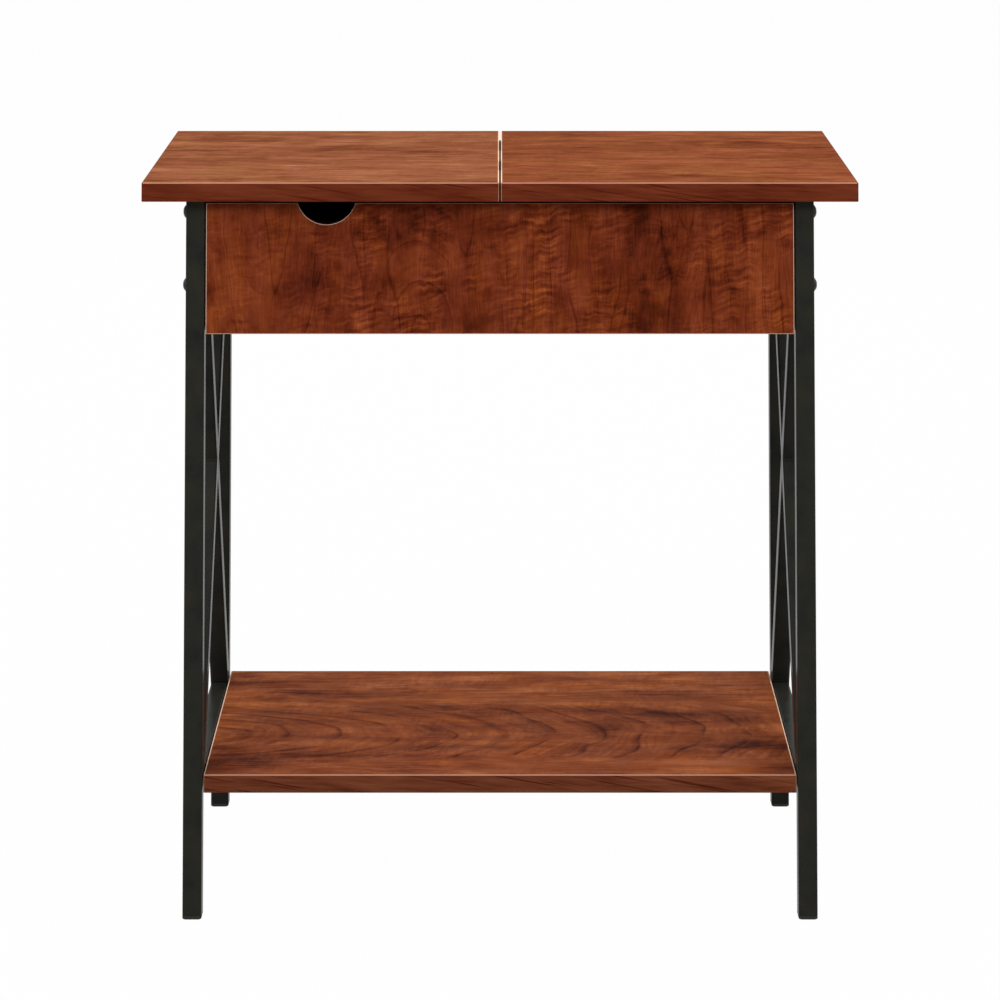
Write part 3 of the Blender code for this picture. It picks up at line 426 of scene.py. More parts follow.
def cherry_laminate(name, turn, end, strips, clouds, seed, tones, lift, sheen, figure):
    """Cherry-print laminate: paper under clear resin on board, pressed with a fine satin texture.
    It gives a face with hardly any glare, dark ring lines, fibres along the grain and curl across it, a
    redder edge band with slanting streaks, a pale painted highlight on the arris and a paler one by the
    seam, and painted shade, near black, on the notch's edge and in the rebate. Turn lays the grain, end
    is where the last strip stops, and figure holds the strengths of the figure."""
    material, tree, shader, spot = new_finish(name, turn)
    axes = u, v, w = add(tree, "SeparateXYZ", {"Vector": spot}).node.outputs[:]
    strip = strip_at(tree, v, end, strips)

    # The grain wanders sideways as the tree grew
    wander = streaks(tree, spot, 210.0, 60.0, seed, 1.0)
    shake = streaks(tree, spot, 46.0, 15.0, seed + 3.1, 2.0)
    drift = v
    for sway, reach in ((wander, figure["wander"]), (shake, figure["shake"])):
        drift = add(tree, "Math", {0: sway, 1: reach, 2: drift}, operation="MULTIPLY_ADD")
    centre = 0.5 * (figure["wander"] + figure["shake"])
    drift = add(tree, "Math", {0: drift, 1: centre}, operation="SUBTRACT")
    flow = add(tree, "CombineXYZ", {"X": u, "Y": drift, "Z": w})
    age = ring_age(tree, u, drift, spot, strip, seed, figure["uneven"])

    # Tone: bands, fibres, smudges, early wood along the rings and flecks, then the strip and its curl
    fibre = streaks(tree, flow, 26.0, 1.3, seed + 23.5, 4.0, 0.65)
    smudge = streaks(tree, flow, *figure["smudge_size"], seed + 17.9, 4.0, 0.62)
    rows = add(tree, "CombineXYZ", {"X": u, "Y": age})
    layers = {
        "bands": streaks(tree, flow, 150.0, 22.0, seed + 11.3, 3.0),
        "fibre": fibre,
        "smudge": smudge,
        "early": streaks(tree, rows, 80.0, 2.6, seed + 61.9, 3.0, 0.6),
        "fleck": streaks(tree, flow, 36.0, 6.5, seed + 101.0, 3.0, 0.6),
    }
    value = 0.5 * (1.0 - sum(figure[share] for share in layers)) + lift - TONE_OFFSET
    for share, layer in layers.items():
        value = add(tree, "Math", {0: layer, 1: figure[share], 2: value}, operation="MULTIPLY_ADD")
    for change in (strip["tone"], curl_ripples(tree, axes, spot, shake, strip, seed, figure["curl"])):
        value = add(tree, "Math", {0: value, 1: change}, operation="ADD")

    # Less what is dark: rings, gum, blotches and clouds
    blotch = streaks(tree, flow, *figure["blotch_size"], seed + 83.0, 3.0, 0.6)
    blotch = add(tree, "MapRange", {"Value": blotch, "From Min": 0.52, "From Max": 0.74,
                                    "To Max": figure["blotch"]})
    for dark in (ring_lines(tree, age, spot, strip, seed, figure["rings"]),
                 gum_lines(tree, flow, seed, figure["gum"]), blotch,
                 cloud_smoke(tree, u, drift, shake, smudge, clouds)):
        value = add(tree, "Math", {0: value, 1: dark}, operation="SUBTRACT")

    # Colour: from dark to light, and here and there rosier or yellower
    face = add(tree, "ValToRGB", {"Fac": value}, stops=shades(tones))
    rosy = streaks(tree, flow, 60.0, 15.0, seed + 91.0, 2.0)
    tint = add(tree, "ValToRGB", {"Fac": rosy},
               stops=[(place, (*shift, 1.0)) for place, shift in zip((0.30, 0.70), figure["tint"])])
    colour = add(tree, "Mix", {"Factor": 1.0, "A": face, "B": tint}, output="Result", data_type="RGBA",
                 blend_type="MULTIPLY")

    # Each zone of the board takes its own colour over the one before: edge band, painted shade, painted
    # highlights
    zone = add(tree, "Attribute", output="Fac", attribute_name="zone")
    beyond_face = {EDGE_ZONE: edge_band(tree, axes, seed, figure["edge"]),
                   PAINTED_SHADE_ZONE: linear(PAINTED_SHADE_TONE), ARRIS_HIGHLIGHT_ZONE: linear(figure["arris"]),
                   SEAM_HIGHLIGHT_ZONE: linear(SEAM_HIGHLIGHT_TONE)}
    for first, own in beyond_face.items():
        reached = add(tree, "Math", {0: zone, 1: first - 0.5}, operation="GREATER_THAN")
        colour = add(tree, "Mix", {"Factor": reached, "A": colour, "B": own}, output="Result",
                     data_type="RGBA")
    tree.links.new(colour, shader.inputs["Base Color"])

    gloss = add(tree, "MapRange", {"Value": fibre, "To Min": 0.58, "To Max": 0.44})
    tree.links.new(gloss, shader.inputs["Roughness"])
    shader.inputs["Specular IOR Level"].default_value = sheen
    pores = add(tree, "Bump", {"Height": fibre, "Strength": 0.12, "Distance": 0.2 * MM})
    tree.links.new(pores, shader.inputs["Normal"])
    return material


def build_finishes():
    """Every finish on the table, by name."""
    upright = (math.pi / 2, 0.0, math.pi / 2)       # grain up, figure across the width
    sideways = (0.0, math.pi / 2, 0.0)              # grain up, figure across the depth
    flat = (0.0, 0.0, 0.0)                          # grain along the width
    quiet = {"bands": 0.54, "fibre": 0.80, "smudge": 0.40, "early": 0.50, "fleck": 0.45, "wander": 22.0,
             "shake": 5.0, "uneven": 20.0, "gum": 0.05, "curl": 1.0, "blotch": 0.16,
             "blotch_size": (34.0, 16.0), "smudge_size": (34.0, 18.0), "rings": RING_PROFILE,
             "edge": EDGE_TONES, "arris": ARRIS_HIGHLIGHT_TONE, "tint": ((1.05, 0.95, 1.16), (0.96, 1.04, 0.92))}
    arched = quiet | {"bands": 0.70, "fibre": 0.50, "smudge": 0.55, "fleck": 0.15, "wander": 14.0,
                      "shake": 6.0, "uneven": 18.0, "gum": 0.08, "blotch": 0.20,
                      "blotch_size": (50.0, 22.0), "rings": SOFT_PROFILE, "edge": SHELF_EDGE_TONES,
                      "arris": SHELF_ARRIS_HIGHLIGHT_TONE, "tint": ((0.93, 1.00, 1.36), (1.08, 0.99, 0.76))}
    lively = quiet | {"bands": 0.40, "fibre": 0.40, "smudge": 0.54, "early": 0.22, "fleck": 0.0,
                      "wander": 14.0, "shake": 8.0, "uneven": 14.0, "gum": 0.13, "curl": 1.25,
                      "blotch_size": (20.0, 18.0), "smudge_size": (24.0, 21.0),
                      "arris": PANEL_ARRIS_HIGHLIGHT_TONE, "tint": ((0.99, 0.98, 1.30), (1.00, 1.02, 0.84))}
    # How the grain lies, the end of the last strip, strips, clouds, seed, tones, lift, sheen and figure
    boards = {
        "flap": (flat, 143, FLAP_STRIPS, FLAP_CLOUDS, 2.3, FLAP_TONES_AND_PAINTED_SHEEN, 0.05, 0.0002, quiet),
        "fixed": (flat, 143, FIXED_STRIPS, FIXED_CLOUDS, 5.9, FIXED_TONES_AND_PAINTED_SHEEN, 0.05, 0.0002, quiet),
        "front": (upright, 248, FRONT_STRIPS, FRONT_CLOUDS, 33.0, PANEL_TONES, 0.015, 0.0015, lively),
        "back": (upright, 248, BACK_STRIPS, FRONT_CLOUDS[::2], 14.2, PANEL_TONES, 0.03, 0.0015, lively),
        "end": (sideways, 125, END_STRIPS, FRONT_CLOUDS[1::2], 19.8, PANEL_TONES, 0.03, 0.0015, lively),
        "shelf": (flat, 131, SHELF_STRIPS, SHELF_CLOUDS, 26.1, SHELF_TONES, 0.10, 0.002, arched),
    }
    cherry = {name: cherry_laminate("cherry_laminate_" + name, *choice) for name, choice in boards.items()}
    return cherry | {
        "steel": powder_coat("black_powder_coat", 0.03),
        "rail": powder_coat("black_powder_coat_matt", 0.006),
        "foot": foot_plastic(),
        "fastener": black_oxide(),
        "zinc": zinc_plate(),
        "hinge": hinge_steel(),
        "dowel": beech(),
        "bottom": hardboard(),
    }


def grained(name, size, seed, detail, tones, rough, specular=0.5, metallic=0.0, relief=None, sharpness=0.5,
            turn=(0.0, 0.0, 0.0)):
    """A finish whose tone follows a fine grain, of a size along and across in mm. Rough is the roughness
    where the grain is low and high. Relief is the skin's size in mm, seed, detail, strength, and depth in
    mm."""
    material, tree, shader, spot = new_finish(name, turn)
    grain = streaks(tree, spot, *size, seed, detail, sharpness)
    colour = add(tree, "ValToRGB", {"Fac": grain}, stops=shades(tones))
    tree.links.new(colour, shader.inputs["Base Color"])
    if rough[0] == rough[1]:
        shader.inputs["Roughness"].default_value = rough[0]
    else:
        gloss = add(tree, "MapRange", {"Value": grain, "To Min": rough[0], "To Max": rough[1]})
        tree.links.new(gloss, shader.inputs["Roughness"])
    shader.inputs["Specular IOR Level"].default_value = specular
    shader.inputs["Metallic"].default_value = metallic
    if relief:
        width, seed, detail, strength, depth = relief
        skin = streaks(tree, spot, width, width, seed, detail, sharpness)
        bump = add(tree, "Bump", {"Height": skin, "Strength": strength, "Distance": depth * MM})
        tree.links.new(bump, shader.inputs["Normal"])
    return material


def powder_coat(name, sheen):
    """Black polyester powder coat on steel tube, baked: near black with a faint warm mottle, satin, and a
    fine orange-peel skin that softens what it mirrors."""
    tones = ((0.30, "#212220"), (0.52, "#282823"), (0.74, "#2e2b25"))
    return grained(name, (26.0, 26.0), 3.0, 3.0, tones, (0.24, 0.34), sheen,
                   relief=(1.6, 8.0, 2.0, 0.10, 0.3))


def foot_plastic():
    """Moulded black polyethylene: dull, a little waxy, with a fine spark-eroded grain."""
    return grained("moulded_polyethylene", (0.9, 0.9), 2.0, 2.0, ((0.3, "#121310"), (0.7, "#1c1b18")),
                   (0.55, 0.55), 0.25, relief=(0.9, 2.0, 2.0, 0.15, 0.2))


def black_oxide():
    """Black-oxide steel: a thin blue-black skin on turned metal, in faint patches from the dip."""
    return grained("black_oxide_steel", (2.2, 2.2), 5.0, 3.0, ((0.3, "#101112"), (0.7, "#1b1b1a")),
                   (0.30, 0.42), 0.18)


def zinc_plate():
    """Bright zinc plate on a turned nut: pale blue-grey metal with dull patches."""
    return grained("zinc_plated_steel", (1.8, 1.8), 6.0, 3.0, ((0.3, "#a8aaab"), (0.7, "#c9c9c4")),
                   (0.26, 0.42), metallic=1.0)


def hinge_steel():
    """Strip steel for the hinges, rolled and bent, with brushed lines along the hinge and no glare. Its
    near-black brown is painted shade, standing in for the shadow in the seam."""
    return grained("seam_shadow_dark_steel", (9.0, 0.5), 4.0, 3.0, ((0.3, "#150b07"), (0.7, "#24140d")),
                   (0.40, 0.55), 0.0003, turn=(0.0, 0.0, -math.pi / 2))


def beech():
    """Turned beech: pale pinkish tan with short dark flecks along the dowel."""
    tones = ((0.30, "#a9825a"), (0.45, "#c39a6e"), (0.75, "#d2ad82"))
    return grained("turned_beech", (6.0, 0.6), 4.0, 3.0, tones, (0.7, 0.7),
                   turn=(math.pi / 2, 0.0, math.pi / 2))


def hardboard():
    """Brown paper-faced fibreboard: matt, a dark even brown with fibres in every direction."""
    return grained("paper_faced_fibreboard", (2.5, 2.5), 7.0, 4.0, ((0.3, "#3a2318"), (0.7, "#523424")),
                   (0.8, 0.8), 0.2, relief=(2.5, 7.0, 4.0, 0.2, 0.3), sharpness=0.65)


FINISH = build_finishes()


def in_scene(name, data):
    """A new object, linked to the scene."""
    item = bpy.data.objects.new(name, data)
    bpy.context.scene.collection.objects.link(item)
    return item


def lofted(rings, closed=False):
    """Skin over rings (count, around, xyz): quads join each ring to the next. The first and last rings are
    filled, or joined to each other where closed. Rings run counter-clockwise seen from the far end."""
    count, around = rings.shape[:2]
    index = np.arange(count * around).reshape(count, around)
    near = index if closed else index[:-1]
    far = np.roll(index, -1, axis=0) if closed else index[1:]
    quads = np.stack([near, np.roll(near, -1, 1), np.roll(far, -1, 1), far], axis=-1).reshape(-1, 4)
    faces = quads.tolist()
    if not closed:
        faces += [index[0, ::-1].tolist(), index[-1].tolist()]
    return rings.reshape(-1, 3), faces


def joined(parts):
    """Several (points, faces) as one."""
    points, faces, start = [], [], 0
    for part_points, part_faces in parts:
        points.append(part_points)
        faces += [[start + corner for corner in face] for face in part_faces]
        start += len(part_points)
    return np.concatenate(points), faces


def settle(name, shape, finish, body="base", nodes=(), zones=None):
    """Make a piece from (points, faces): smooth but for its sharp corners, and riding on a body in place
    of nodes."""
    points, faces = shape
    mesh = bpy.data.meshes.new(name)
    mesh.from_pydata(points.tolist(), [], faces)
    mesh.shade_smooth()
    mesh.set_sharp_from_angle(angle=SHARP_ANGLE)
    mesh.materials.append(FINISH[finish])
    if zones is not None:
        values = np.asarray(zones, np.float32)
        mesh.attributes.new("zone", "FLOAT", "FACE").data.foreach_set("value", values)
    piece = in_scene(name, mesh)
    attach(piece, body)
    if nodes:
        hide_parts(*nodes)


def box_of(node):
    """Lowest and highest corner of a node, as arrays."""
    low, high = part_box(node)
    return np.array(low), np.array(high)


def rounded_outline(low, high, radius, steps=4):
    """Rectangle with round corners, counter-clockwise: at each corner a quarter circle about the point one
    radius in from both sides, with a holding point on the straight at either end of it."""
    sweep = np.linspace(0.0, math.pi / 2, steps + 1)
    arc = radius * np.stack([np.cos(sweep), np.sin(sweep)], 1)
    arc = np.vstack([[radius, -HOLD], arc, [-HOLD, radius]])
    quarter = np.arange(4) * math.pi / 2
    cosine, sine = np.cos(quarter), np.sin(quarter)
    turn = np.stack([cosine, -sine, sine, cosine], 1).reshape(4, 2, 2)
    inner_low, inner_high = np.asarray(low) + radius, np.asarray(high) - radius
    centres = np.array([inner_high, (inner_low[0], inner_high[1]),
                        inner_low, (inner_high[0], inner_low[1])])
    return (centres[:, None] + np.einsum("kij,nj->kni", turn, arc)).reshape(-1, 2)


def mitre(outline):
    """Inward step at each point of a counter-clockwise outline that moves both its sides in by one unit:
    the sum of the two sides' inward normals over one plus their dot product."""
    side = np.roll(outline, -1, axis=0) - outline
    normal = np.stack([-side[:, 1], side[:, 0]], 1) / np.linalg.norm(side, axis=1, keepdims=True)
    before = np.roll(normal, 1, axis=0)
    return (normal + before) / (1.0 + (normal * before).sum(1, keepdims=True))


def board_shape(outline, thickness, axes, origin, ease=BOARD_EASE, plain=None, spread=None, shaded_notch=None,
                pocket=(), sunk=0.0):
    """Board over an outline. Its section starts on the lower face, rounds the lower arris by a quarter
    circle, climbs the edge, rounds the upper arris and ends on the upper face; each ring is the outline
    drawn in and lifted by one point of that section. Returns the shape and the zone of every face: the
    upper arris and the round corners get a pale painted highlight, but where plain marks a side of the
    outline they are part of the edge. The upper arris is as wide as spread says at each point, and where
    that is over one it gets the seam's paler painted highlight. Where the notch mark picks out a side,
    its edge is painted near black as shade. Between the levels of a pocket, the edge is sunk."""
    sweep = np.linspace(0.0, math.pi / 2, EASE_STEPS + 1)
    drawn = ease * (1.0 - np.sin(sweep))
    lift = ease * (1.0 - np.cos(sweep))
    ledges = np.zeros(0)
    if pocket:
        ledges = np.repeat(pocket, 2) + POCKET_STEP * np.array([-1, 1, -1, 1])
    inset = np.concatenate([[ease + HOLD], drawn, 0.0 * ledges, drawn[::-1], [ease + HOLD]])
    height = np.concatenate([[0.0], lift, ledges, thickness - lift[::-1], [thickness]])
    inset = np.repeat(inset[:, None], len(outline), axis=1)
    if spread is not None:
        inset[-EASE_STEPS - 2:] *= spread
    plan = outline + inset[:, :, None] * mitre(outline)
    if pocket:
        plan[EASE_STEPS + 3:EASE_STEPS + 5] += sunk
    level = np.broadcast_to(height[:, None, None], (*plan.shape[:2], 1))
    rings = np.asarray(origin) + np.concatenate([plan, level], axis=2) @ np.asarray(axes, float)
    span = np.array([FACE_ZONE] + [EDGE_ZONE] * (EASE_STEPS + 1 + len(ledges)) + [ARRIS_HIGHLIGHT_ZONE] * EASE_STEPS
                    + [FACE_ZONE])
    zones = np.repeat(span[:, None], len(outline), axis=1)
    side = np.roll(outline, -1, axis=0) - outline
    length = np.linalg.norm(side, axis=1)
    # Short slanting sides of a round corner get the painted highlight all the way up the edge
    highlit_corners = (length < CORNER_SIDE) & (np.abs(side).min(axis=1) > CORNER_SLANT * length)
    zones[2:-1, highlit_corners] = ARRIS_HIGHLIGHT_ZONE
    if plain is not None:
        zones[:, plain] = np.minimum(zones[:, plain], EDGE_ZONE)
    if spread is not None:
        zones[-EASE_STEPS - 1:-1, np.minimum(spread, np.roll(spread, -1)) > 1.0] = SEAM_HIGHLIGHT_ZONE
    if shaded_notch is not None:
        zones[:, shaded_notch] = np.where(zones[:, shaded_notch] == EDGE_ZONE, PAINTED_SHADE_ZONE, zones[:, shaded_notch])
    return lofted(rings), np.append(zones.ravel(), [FACE_ZONE, FACE_ZONE])


FLAT_AXES = ((1, 0, 0), (0, 1, 0), (0, 0, 1))          # outline over X and Y, thickness up
FACING_AXES = ((1, 0, 0), (0, 0, 1), (0, -1, 0))       # outline over X and Z, thickness to the front
BACKING_AXES = ((-1, 0, 0), (0, 0, 1), (0, 1, 0))      # outline over X and Z, thickness to the rear
SIDEWAYS_AXES = ((0, 1, 0), (0, 0, 1), (1, 0, 0))      # outline over Y and Z, thickness to the right
LEFT_AXES = ((0, -1, 0), (0, 0, 1), (-1, 0, 0))        # outline over Y and Z, thickness to the left


def top_half(name, node, finish, body, way):
    """Half of the top, with pockets for the hinge leaves sunk into its meeting edge. Way is the side of
    the half that meets the other."""
    low, high = box_of(node)
    seam = (high if way > 0 else low)[0] + way * SEAM_CREEP
    (high if way > 0 else low)[0] = seam
    outline = rounded_outline(low[:2], high[:2], BOARD_CORNER)
    centres = HINGE_SPACING / 2 * np.array([[-1.0], [1.0]])
    reach = POCKET_LENGTH / 2 * np.array([-1.0, -POCKET_FLOOR, POCKET_FLOOR, 1.0])
    along = (centres + reach).ravel()[::int(way)]
    corner = len(outline) // 4
    after = 4 * corner if way > 0 else 2 * corner
    edge = np.column_stack([np.full(len(along), seam), along])
    outline = np.concatenate([outline[:after], edge, outline[after:]])
    sunk = np.zeros_like(outline)
    sunk[after + np.array([1, 2, 5, 6]), 0] = -way * POCKET_DEPTH
    side = np.roll(outline, -1, axis=0) - outline
    plain = (side[:, 0] < 0) | (way * side[:, 1] < 0)         # the rear and outer sides, whose arris gets no painted highlight
    spread = np.where(np.abs(outline[:, 0] - seam) < NEAR, SEAM_SPREAD, 1.0)
    shape, zones = board_shape(outline, high[2] - low[2], FLAT_AXES, (0.0, 0.0, low[2]), plain=plain,
                               spread=spread, pocket=POCKET_LEVELS, sunk=sunk)
    settle(name, shape, finish, body, [node], zones)


def notched_outline(low, high):
    """Rectangle over X and Z whose top edge dips along the finger notch, an arc of a circle whose centre
    lies a little above the panel. Returns the outline, and a mark on each side that is in the notch."""
    outline = rounded_outline(low, high, BOARD_CORNER)
    panel_top = box_of("front_panel")[1][2]
    centre = np.array([low[0] + NOTCH_FROM_PANEL_END, panel_top + NOTCH_CENTRE_RISE])
    lean = math.asin((centre[1] - high[1]) / NOTCH_RADIUS)
    sweep = np.linspace(-lean, lean - math.pi, NOTCH_STEPS + 1)
    notch = centre + NOTCH_RADIUS * np.stack([np.cos(sweep), np.sin(sweep)], 1)
    after = len(outline) // 4
    outline = np.concatenate([outline[:after], notch, outline[after:]])
    place = np.arange(len(outline))
    return outline, (place >= after) & (place < after + NOTCH_STEPS)


def front_panel_shape():
    """Front panel: the full board, and over it the face board, which stops short of the top. So a rebate
    leaves a shadow line under the top, over the fine arris of the face. The full board's face in that
    rebate and the notch's edge are painted near black as shade."""
    low, high = box_of("front_panel")
    drop = np.array([0.0, SHADOW_LINE_HEIGHT])
    low_plan, high_plan = low[[0, 2]], high[[0, 2]]
    outline, shaded_notch = notched_outline(low_plan, high_plan)
    plain = np.ones(len(outline), bool)
    full, full_zones = board_shape(outline, high[1] - low[1] - SHADOW_LINE_DEPTH, FACING_AXES,
                                   (0.0, high[1], 0.0), PANEL_EASE, plain, shaded_notch=shaded_notch)
    # Painted shade: the full board's front face, seen only in the rebate under the top, is near black
    full_zones[-1] = PAINTED_SHADE_ZONE
    outline, shaded_notch = notched_outline(low_plan, high_plan - drop)
    at_top = outline[:, 1] > high_plan[1] - drop[1] - NEAR
    spread = np.where(at_top | shaded_notch | np.roll(shaded_notch, 1), RIM_SPREAD, 1.0)
    face, face_zones = board_shape(outline, 2 * SHADOW_LINE_DEPTH, FACING_AXES,
                                   (0.0, low[1] + 2 * SHADOW_LINE_DEPTH, 0.0), PANEL_EASE, spread=spread,
                                   shaded_notch=shaded_notch)
    return joined([full, face]), np.concatenate([full_zones, face_zones])


def plain_board(name, node, finish, axes, ease=PANEL_EASE, highlit_ends=False):
    """Rectangular board in place of a node, with its thickness along the last of the axes. The arris at
    the far side of its outline, at the rear or the top, is plain, with no painted highlight, and those at
    its ends, where asked for, are broad and carry the seam's paler painted highlight."""
    low, high = box_of(node)
    axes = np.asarray(axes, float)
    corners = np.sort(np.stack([low, high]) @ axes.T, axis=0)
    origin = corners[0, 2] * axes[2]
    outline = rounded_outline(corners[0, :2], corners[1, :2], BOARD_CORNER)
    plain = (np.roll(outline, -1, axis=0) - outline)[:, 0] < 0       # the sides that face the rear, or up
    spread = None
    if highlit_ends:
        spread = np.where(np.isin(outline[:, 0], corners[:, 0]), SEAM_SPREAD, 1.0)
    shape, zones = board_shape(outline, corners[1, 2] - corners[0, 2], axes, origin, ease, plain, spread)
    settle(name, shape, finish, nodes=[node], zones=zones)


def build_boards():
    """The two halves of the top, the five boards of the box, its divider and the shelf."""
    top_half("flip_top_board", "flip_top", "flap", "flap", 1.0)
    top_half("fixed_top_board", "fixed_top", "fixed", "base", -1.0)
    shape, zones = front_panel_shape()
    settle("front_panel_board", shape, "front", nodes=["front_panel"], zones=zones)
    plain_board("back_panel_board", "back_panel", "back", BACKING_AXES)
    plain_board("left_end_board", "left_end_panel", "end", LEFT_AXES)
    plain_board("right_end_board", "right_end_panel", "end", SIDEWAYS_AXES)
    plain_board("divider_board", "centre_divider", "end", SIDEWAYS_AXES, DIVIDER_EASE)
    plain_board("shelf_board", "shelf", "shelf", FLAT_AXES, BOARD_EASE, highlit_ends=True)
    plain_board("bottom_board", "bottom_panel", "bottom", FLAT_AXES, BOTTOM_EASE)


TUBE_OUTLINE = rounded_outline((-TUBE / 2,) * 2, (TUBE / 2,) * 2, TUBE_CORNER, TUBE_STEPS)


def tube_section():
    """Outline of square tube about its middle, with a point at the middle of every flat."""
    middles = TUBE / 2 * np.array([(0, 1), (-1, 0), (0, -1), (1, 0)])
    corners = TUBE_OUTLINE.reshape(4, -1, 2)
    return np.concatenate([corners, middles[:, None]], axis=1).reshape(-1, 2)


def reach_along(points, run, planes, pick):
    """How far each point goes along a run to the nearer or farther of planes given as (normal, level)."""
    far = [(level - points @ np.asarray(normal)) / (np.asarray(run) @ np.asarray(normal))
           for normal, level in planes]
    return pick(np.array(far), axis=0)


def tube_rings(centre, run, across, start, end):
    """Tube along a run: every point of its section slides along the run to the planes that it starts from
    and to those that it ends at, so each end fits what it is welded to."""
    run = np.asarray(run, float) / np.linalg.norm(run)
    across = np.asarray(across, float)
    section = tube_section()
    points = np.asarray(centre) + section[:, :1] * across + section[:, 1:] * np.cross(run, across)
    first = points + reach_along(points, run, start, np.max)[:, None] * run
    last = points + reach_along(points, run, end, np.min)[:, None] * run
    return np.stack([first, last])


def weld_bead(loop, run):
    """Weld round the end of a tube: a small circle carried along the closed loop, whose radius rises and
    falls by a sine of the length, as the puddles of a weld do. On the frame's broad faces it is ground
    flush, so there the loop lies one radius in."""
    middle = loop[:, 0].mean()
    flush = TUBE / 2 - WELD_RADIUS * (1.0 + WELD_SWELL)
    loop = np.column_stack([np.clip(loop[:, 0], middle - flush, middle + flush), loop[:, 1:]])
    step = np.linalg.norm(np.roll(loop, -1, axis=0) - loop, axis=1)
    length = np.concatenate([[0.0], np.cumsum(step)])
    count = round(length[-1] / (WELD_RIPPLE / WELD_STEPS))
    at = np.linspace(0.0, length[-1], count, endpoint=False)
    wrapped = np.vstack([loop, loop[:1]])
    path = np.stack([np.interp(at, length, wrapped[:, axis]) for axis in range(3)], 1)
    ahead = np.roll(path, -1, axis=0) - np.roll(path, 1, axis=0)
    ahead /= np.linalg.norm(ahead, axis=1, keepdims=True)
    out = np.cross(ahead, np.asarray(run))
    out /= np.linalg.norm(out, axis=1, keepdims=True)
    up = np.cross(out, ahead)
    around = np.linspace(0.0, 2 * math.pi, WELD_SIDES, endpoint=False)
    ripples = round(length[-1] / WELD_RIPPLE)
    radius = WELD_RADIUS * (1.0 + WELD_SWELL * np.sin(2 * math.pi * ripples * at / length[-1]))
    circle = np.cos(around)[None, :, None] * out[:, None] + np.sin(around)[None, :, None] * up[:, None]
    return lofted((path[:, None] + radius[:, None, None] * circle)[:, ::-1], closed=True)


def lay_tube(node, finish, centre, run, across, start, end):
    """A tube in place of a node. Returns the rings at its two ends."""
    rings = tube_rings(centre, run, across, start, end)
    settle(f"{node}_tube", lofted(rings), finish, nodes=[node])
    return rings


def lay_straight_tube(node, finish, run, across):
    """A tube that fills a node's box along a run."""
    low, high = box_of(node)
    return lay_tube(node, finish, (low + high) / 2, run, across, [(run, low @ run)], [(run, high @ run)])


def brace_runs(side):
    """Middle of a side's crossed braces, and for each brace its run and the planes that it starts and ends
    at: the legs, the rails, and for a half brace the face of the full one."""
    lower_low, lower_high = box_of(side + "_lower_rail")
    upper_low = box_of(side + "_upper_rail")[0]
    front, rear = lower_low[1], lower_high[1]
    floor, roof = lower_high[2] + TUBE_GAP, upper_low[2] - TUBE_GAP
    leg_from_middle = box_of("front_right_leg")[0][0] + TUBE / 2
    centre = np.array([SIDES[side] * leg_from_middle, 0.0, (floor + roof) / 2])
    rise = np.array([0.0, rear - front, roof - floor])
    rise /= np.linalg.norm(rise)
    fall = rise * (1, -1, 1)
    beside = np.array([0.0, rise[2], -rise[1]])           # square to the full brace, to the rear and down
    front_plane, rear_plane = ((0, 1, 0), front), ((0, 1, 0), rear)
    floor_plane, roof_plane = ((0, 0, 1), floor), ((0, 0, 1), roof)
    face = TUBE / 2 + TUBE_GAP
    upper_face = (beside, centre @ beside - face)
    lower_face = (beside, centre @ beside + face)
    return centre, {
        "full_brace": (rise, [front_plane, floor_plane], [rear_plane, roof_plane]),
        "upper_half_brace": (fall, [upper_face], [front_plane, roof_plane]),
        "lower_half_brace": (fall, [rear_plane, floor_plane], [lower_face]),
    }


def build_side_frames():
    """Legs, rails and crossed braces of square tube, with their welds."""
    for side in SIDES:
        welds = []
        for end in ENDS:
            lay_straight_tube(f"{end}_{side}_leg", "steel", (0, 0, 1), (1, 0, 0))
        for level in LEVELS:
            rings = lay_straight_tube(f"{side}_{level}_rail", "rail", (0, 1, 0), (0, 0, 1))
            welds += [weld_bead(ring, (0, 1, 0)) for ring in rings]
        centre, runs = brace_runs(side)
        for brace, (run, start, end) in runs.items():
            rings = lay_tube(f"{side}_{brace}", "steel", centre, run, (1, 0, 0), start, end)
            welds += [weld_bead(ring, run) for ring in rings]
        settle(side + "_frame_welds", joined(welds), "steel")


def build_feet():
    """Foot plugs: a square with round corners, drawn in and lofted by the rim's profile and the stem's."""
    rim = np.array(FOOT_RIM) * MM
    stem = np.array([0.0, FOOT_STEM - FOOT_STEM_CHAMFER, FOOT_STEM])
    drawn = np.concatenate([rim[:, 0], FOOT_STEM_INSET + np.array([0.0, 0.0, FOOT_STEM_CHAMFER])])
    height = np.concatenate([rim[:, 1], rim[-1, 1] + stem])
    plan = TUBE_OUTLINE * (1.0 - 2.0 * drawn / TUBE)[:, None, None]
    rings = np.concatenate([plan, np.broadcast_to(height[:, None, None], (*plan.shape[:2], 1))], axis=2)
    for side in SIDES:
        for end in ENDS:
            node = f"{end}_{side}_foot"
            low, high = box_of(node)
            spot = np.array([*((low + high) / 2)[:2], 0.0])
            settle(f"{node}_plug", lofted(rings + spot), "foot", nodes=[node])


def hexagon(across_flats, angle):
    """Distance from the middle of a hexagon to its side, at each angle."""
    sector = np.mod(angle + math.pi / 6, math.pi / 3) - math.pi / 6
    return across_flats / 2 / np.cos(sector)


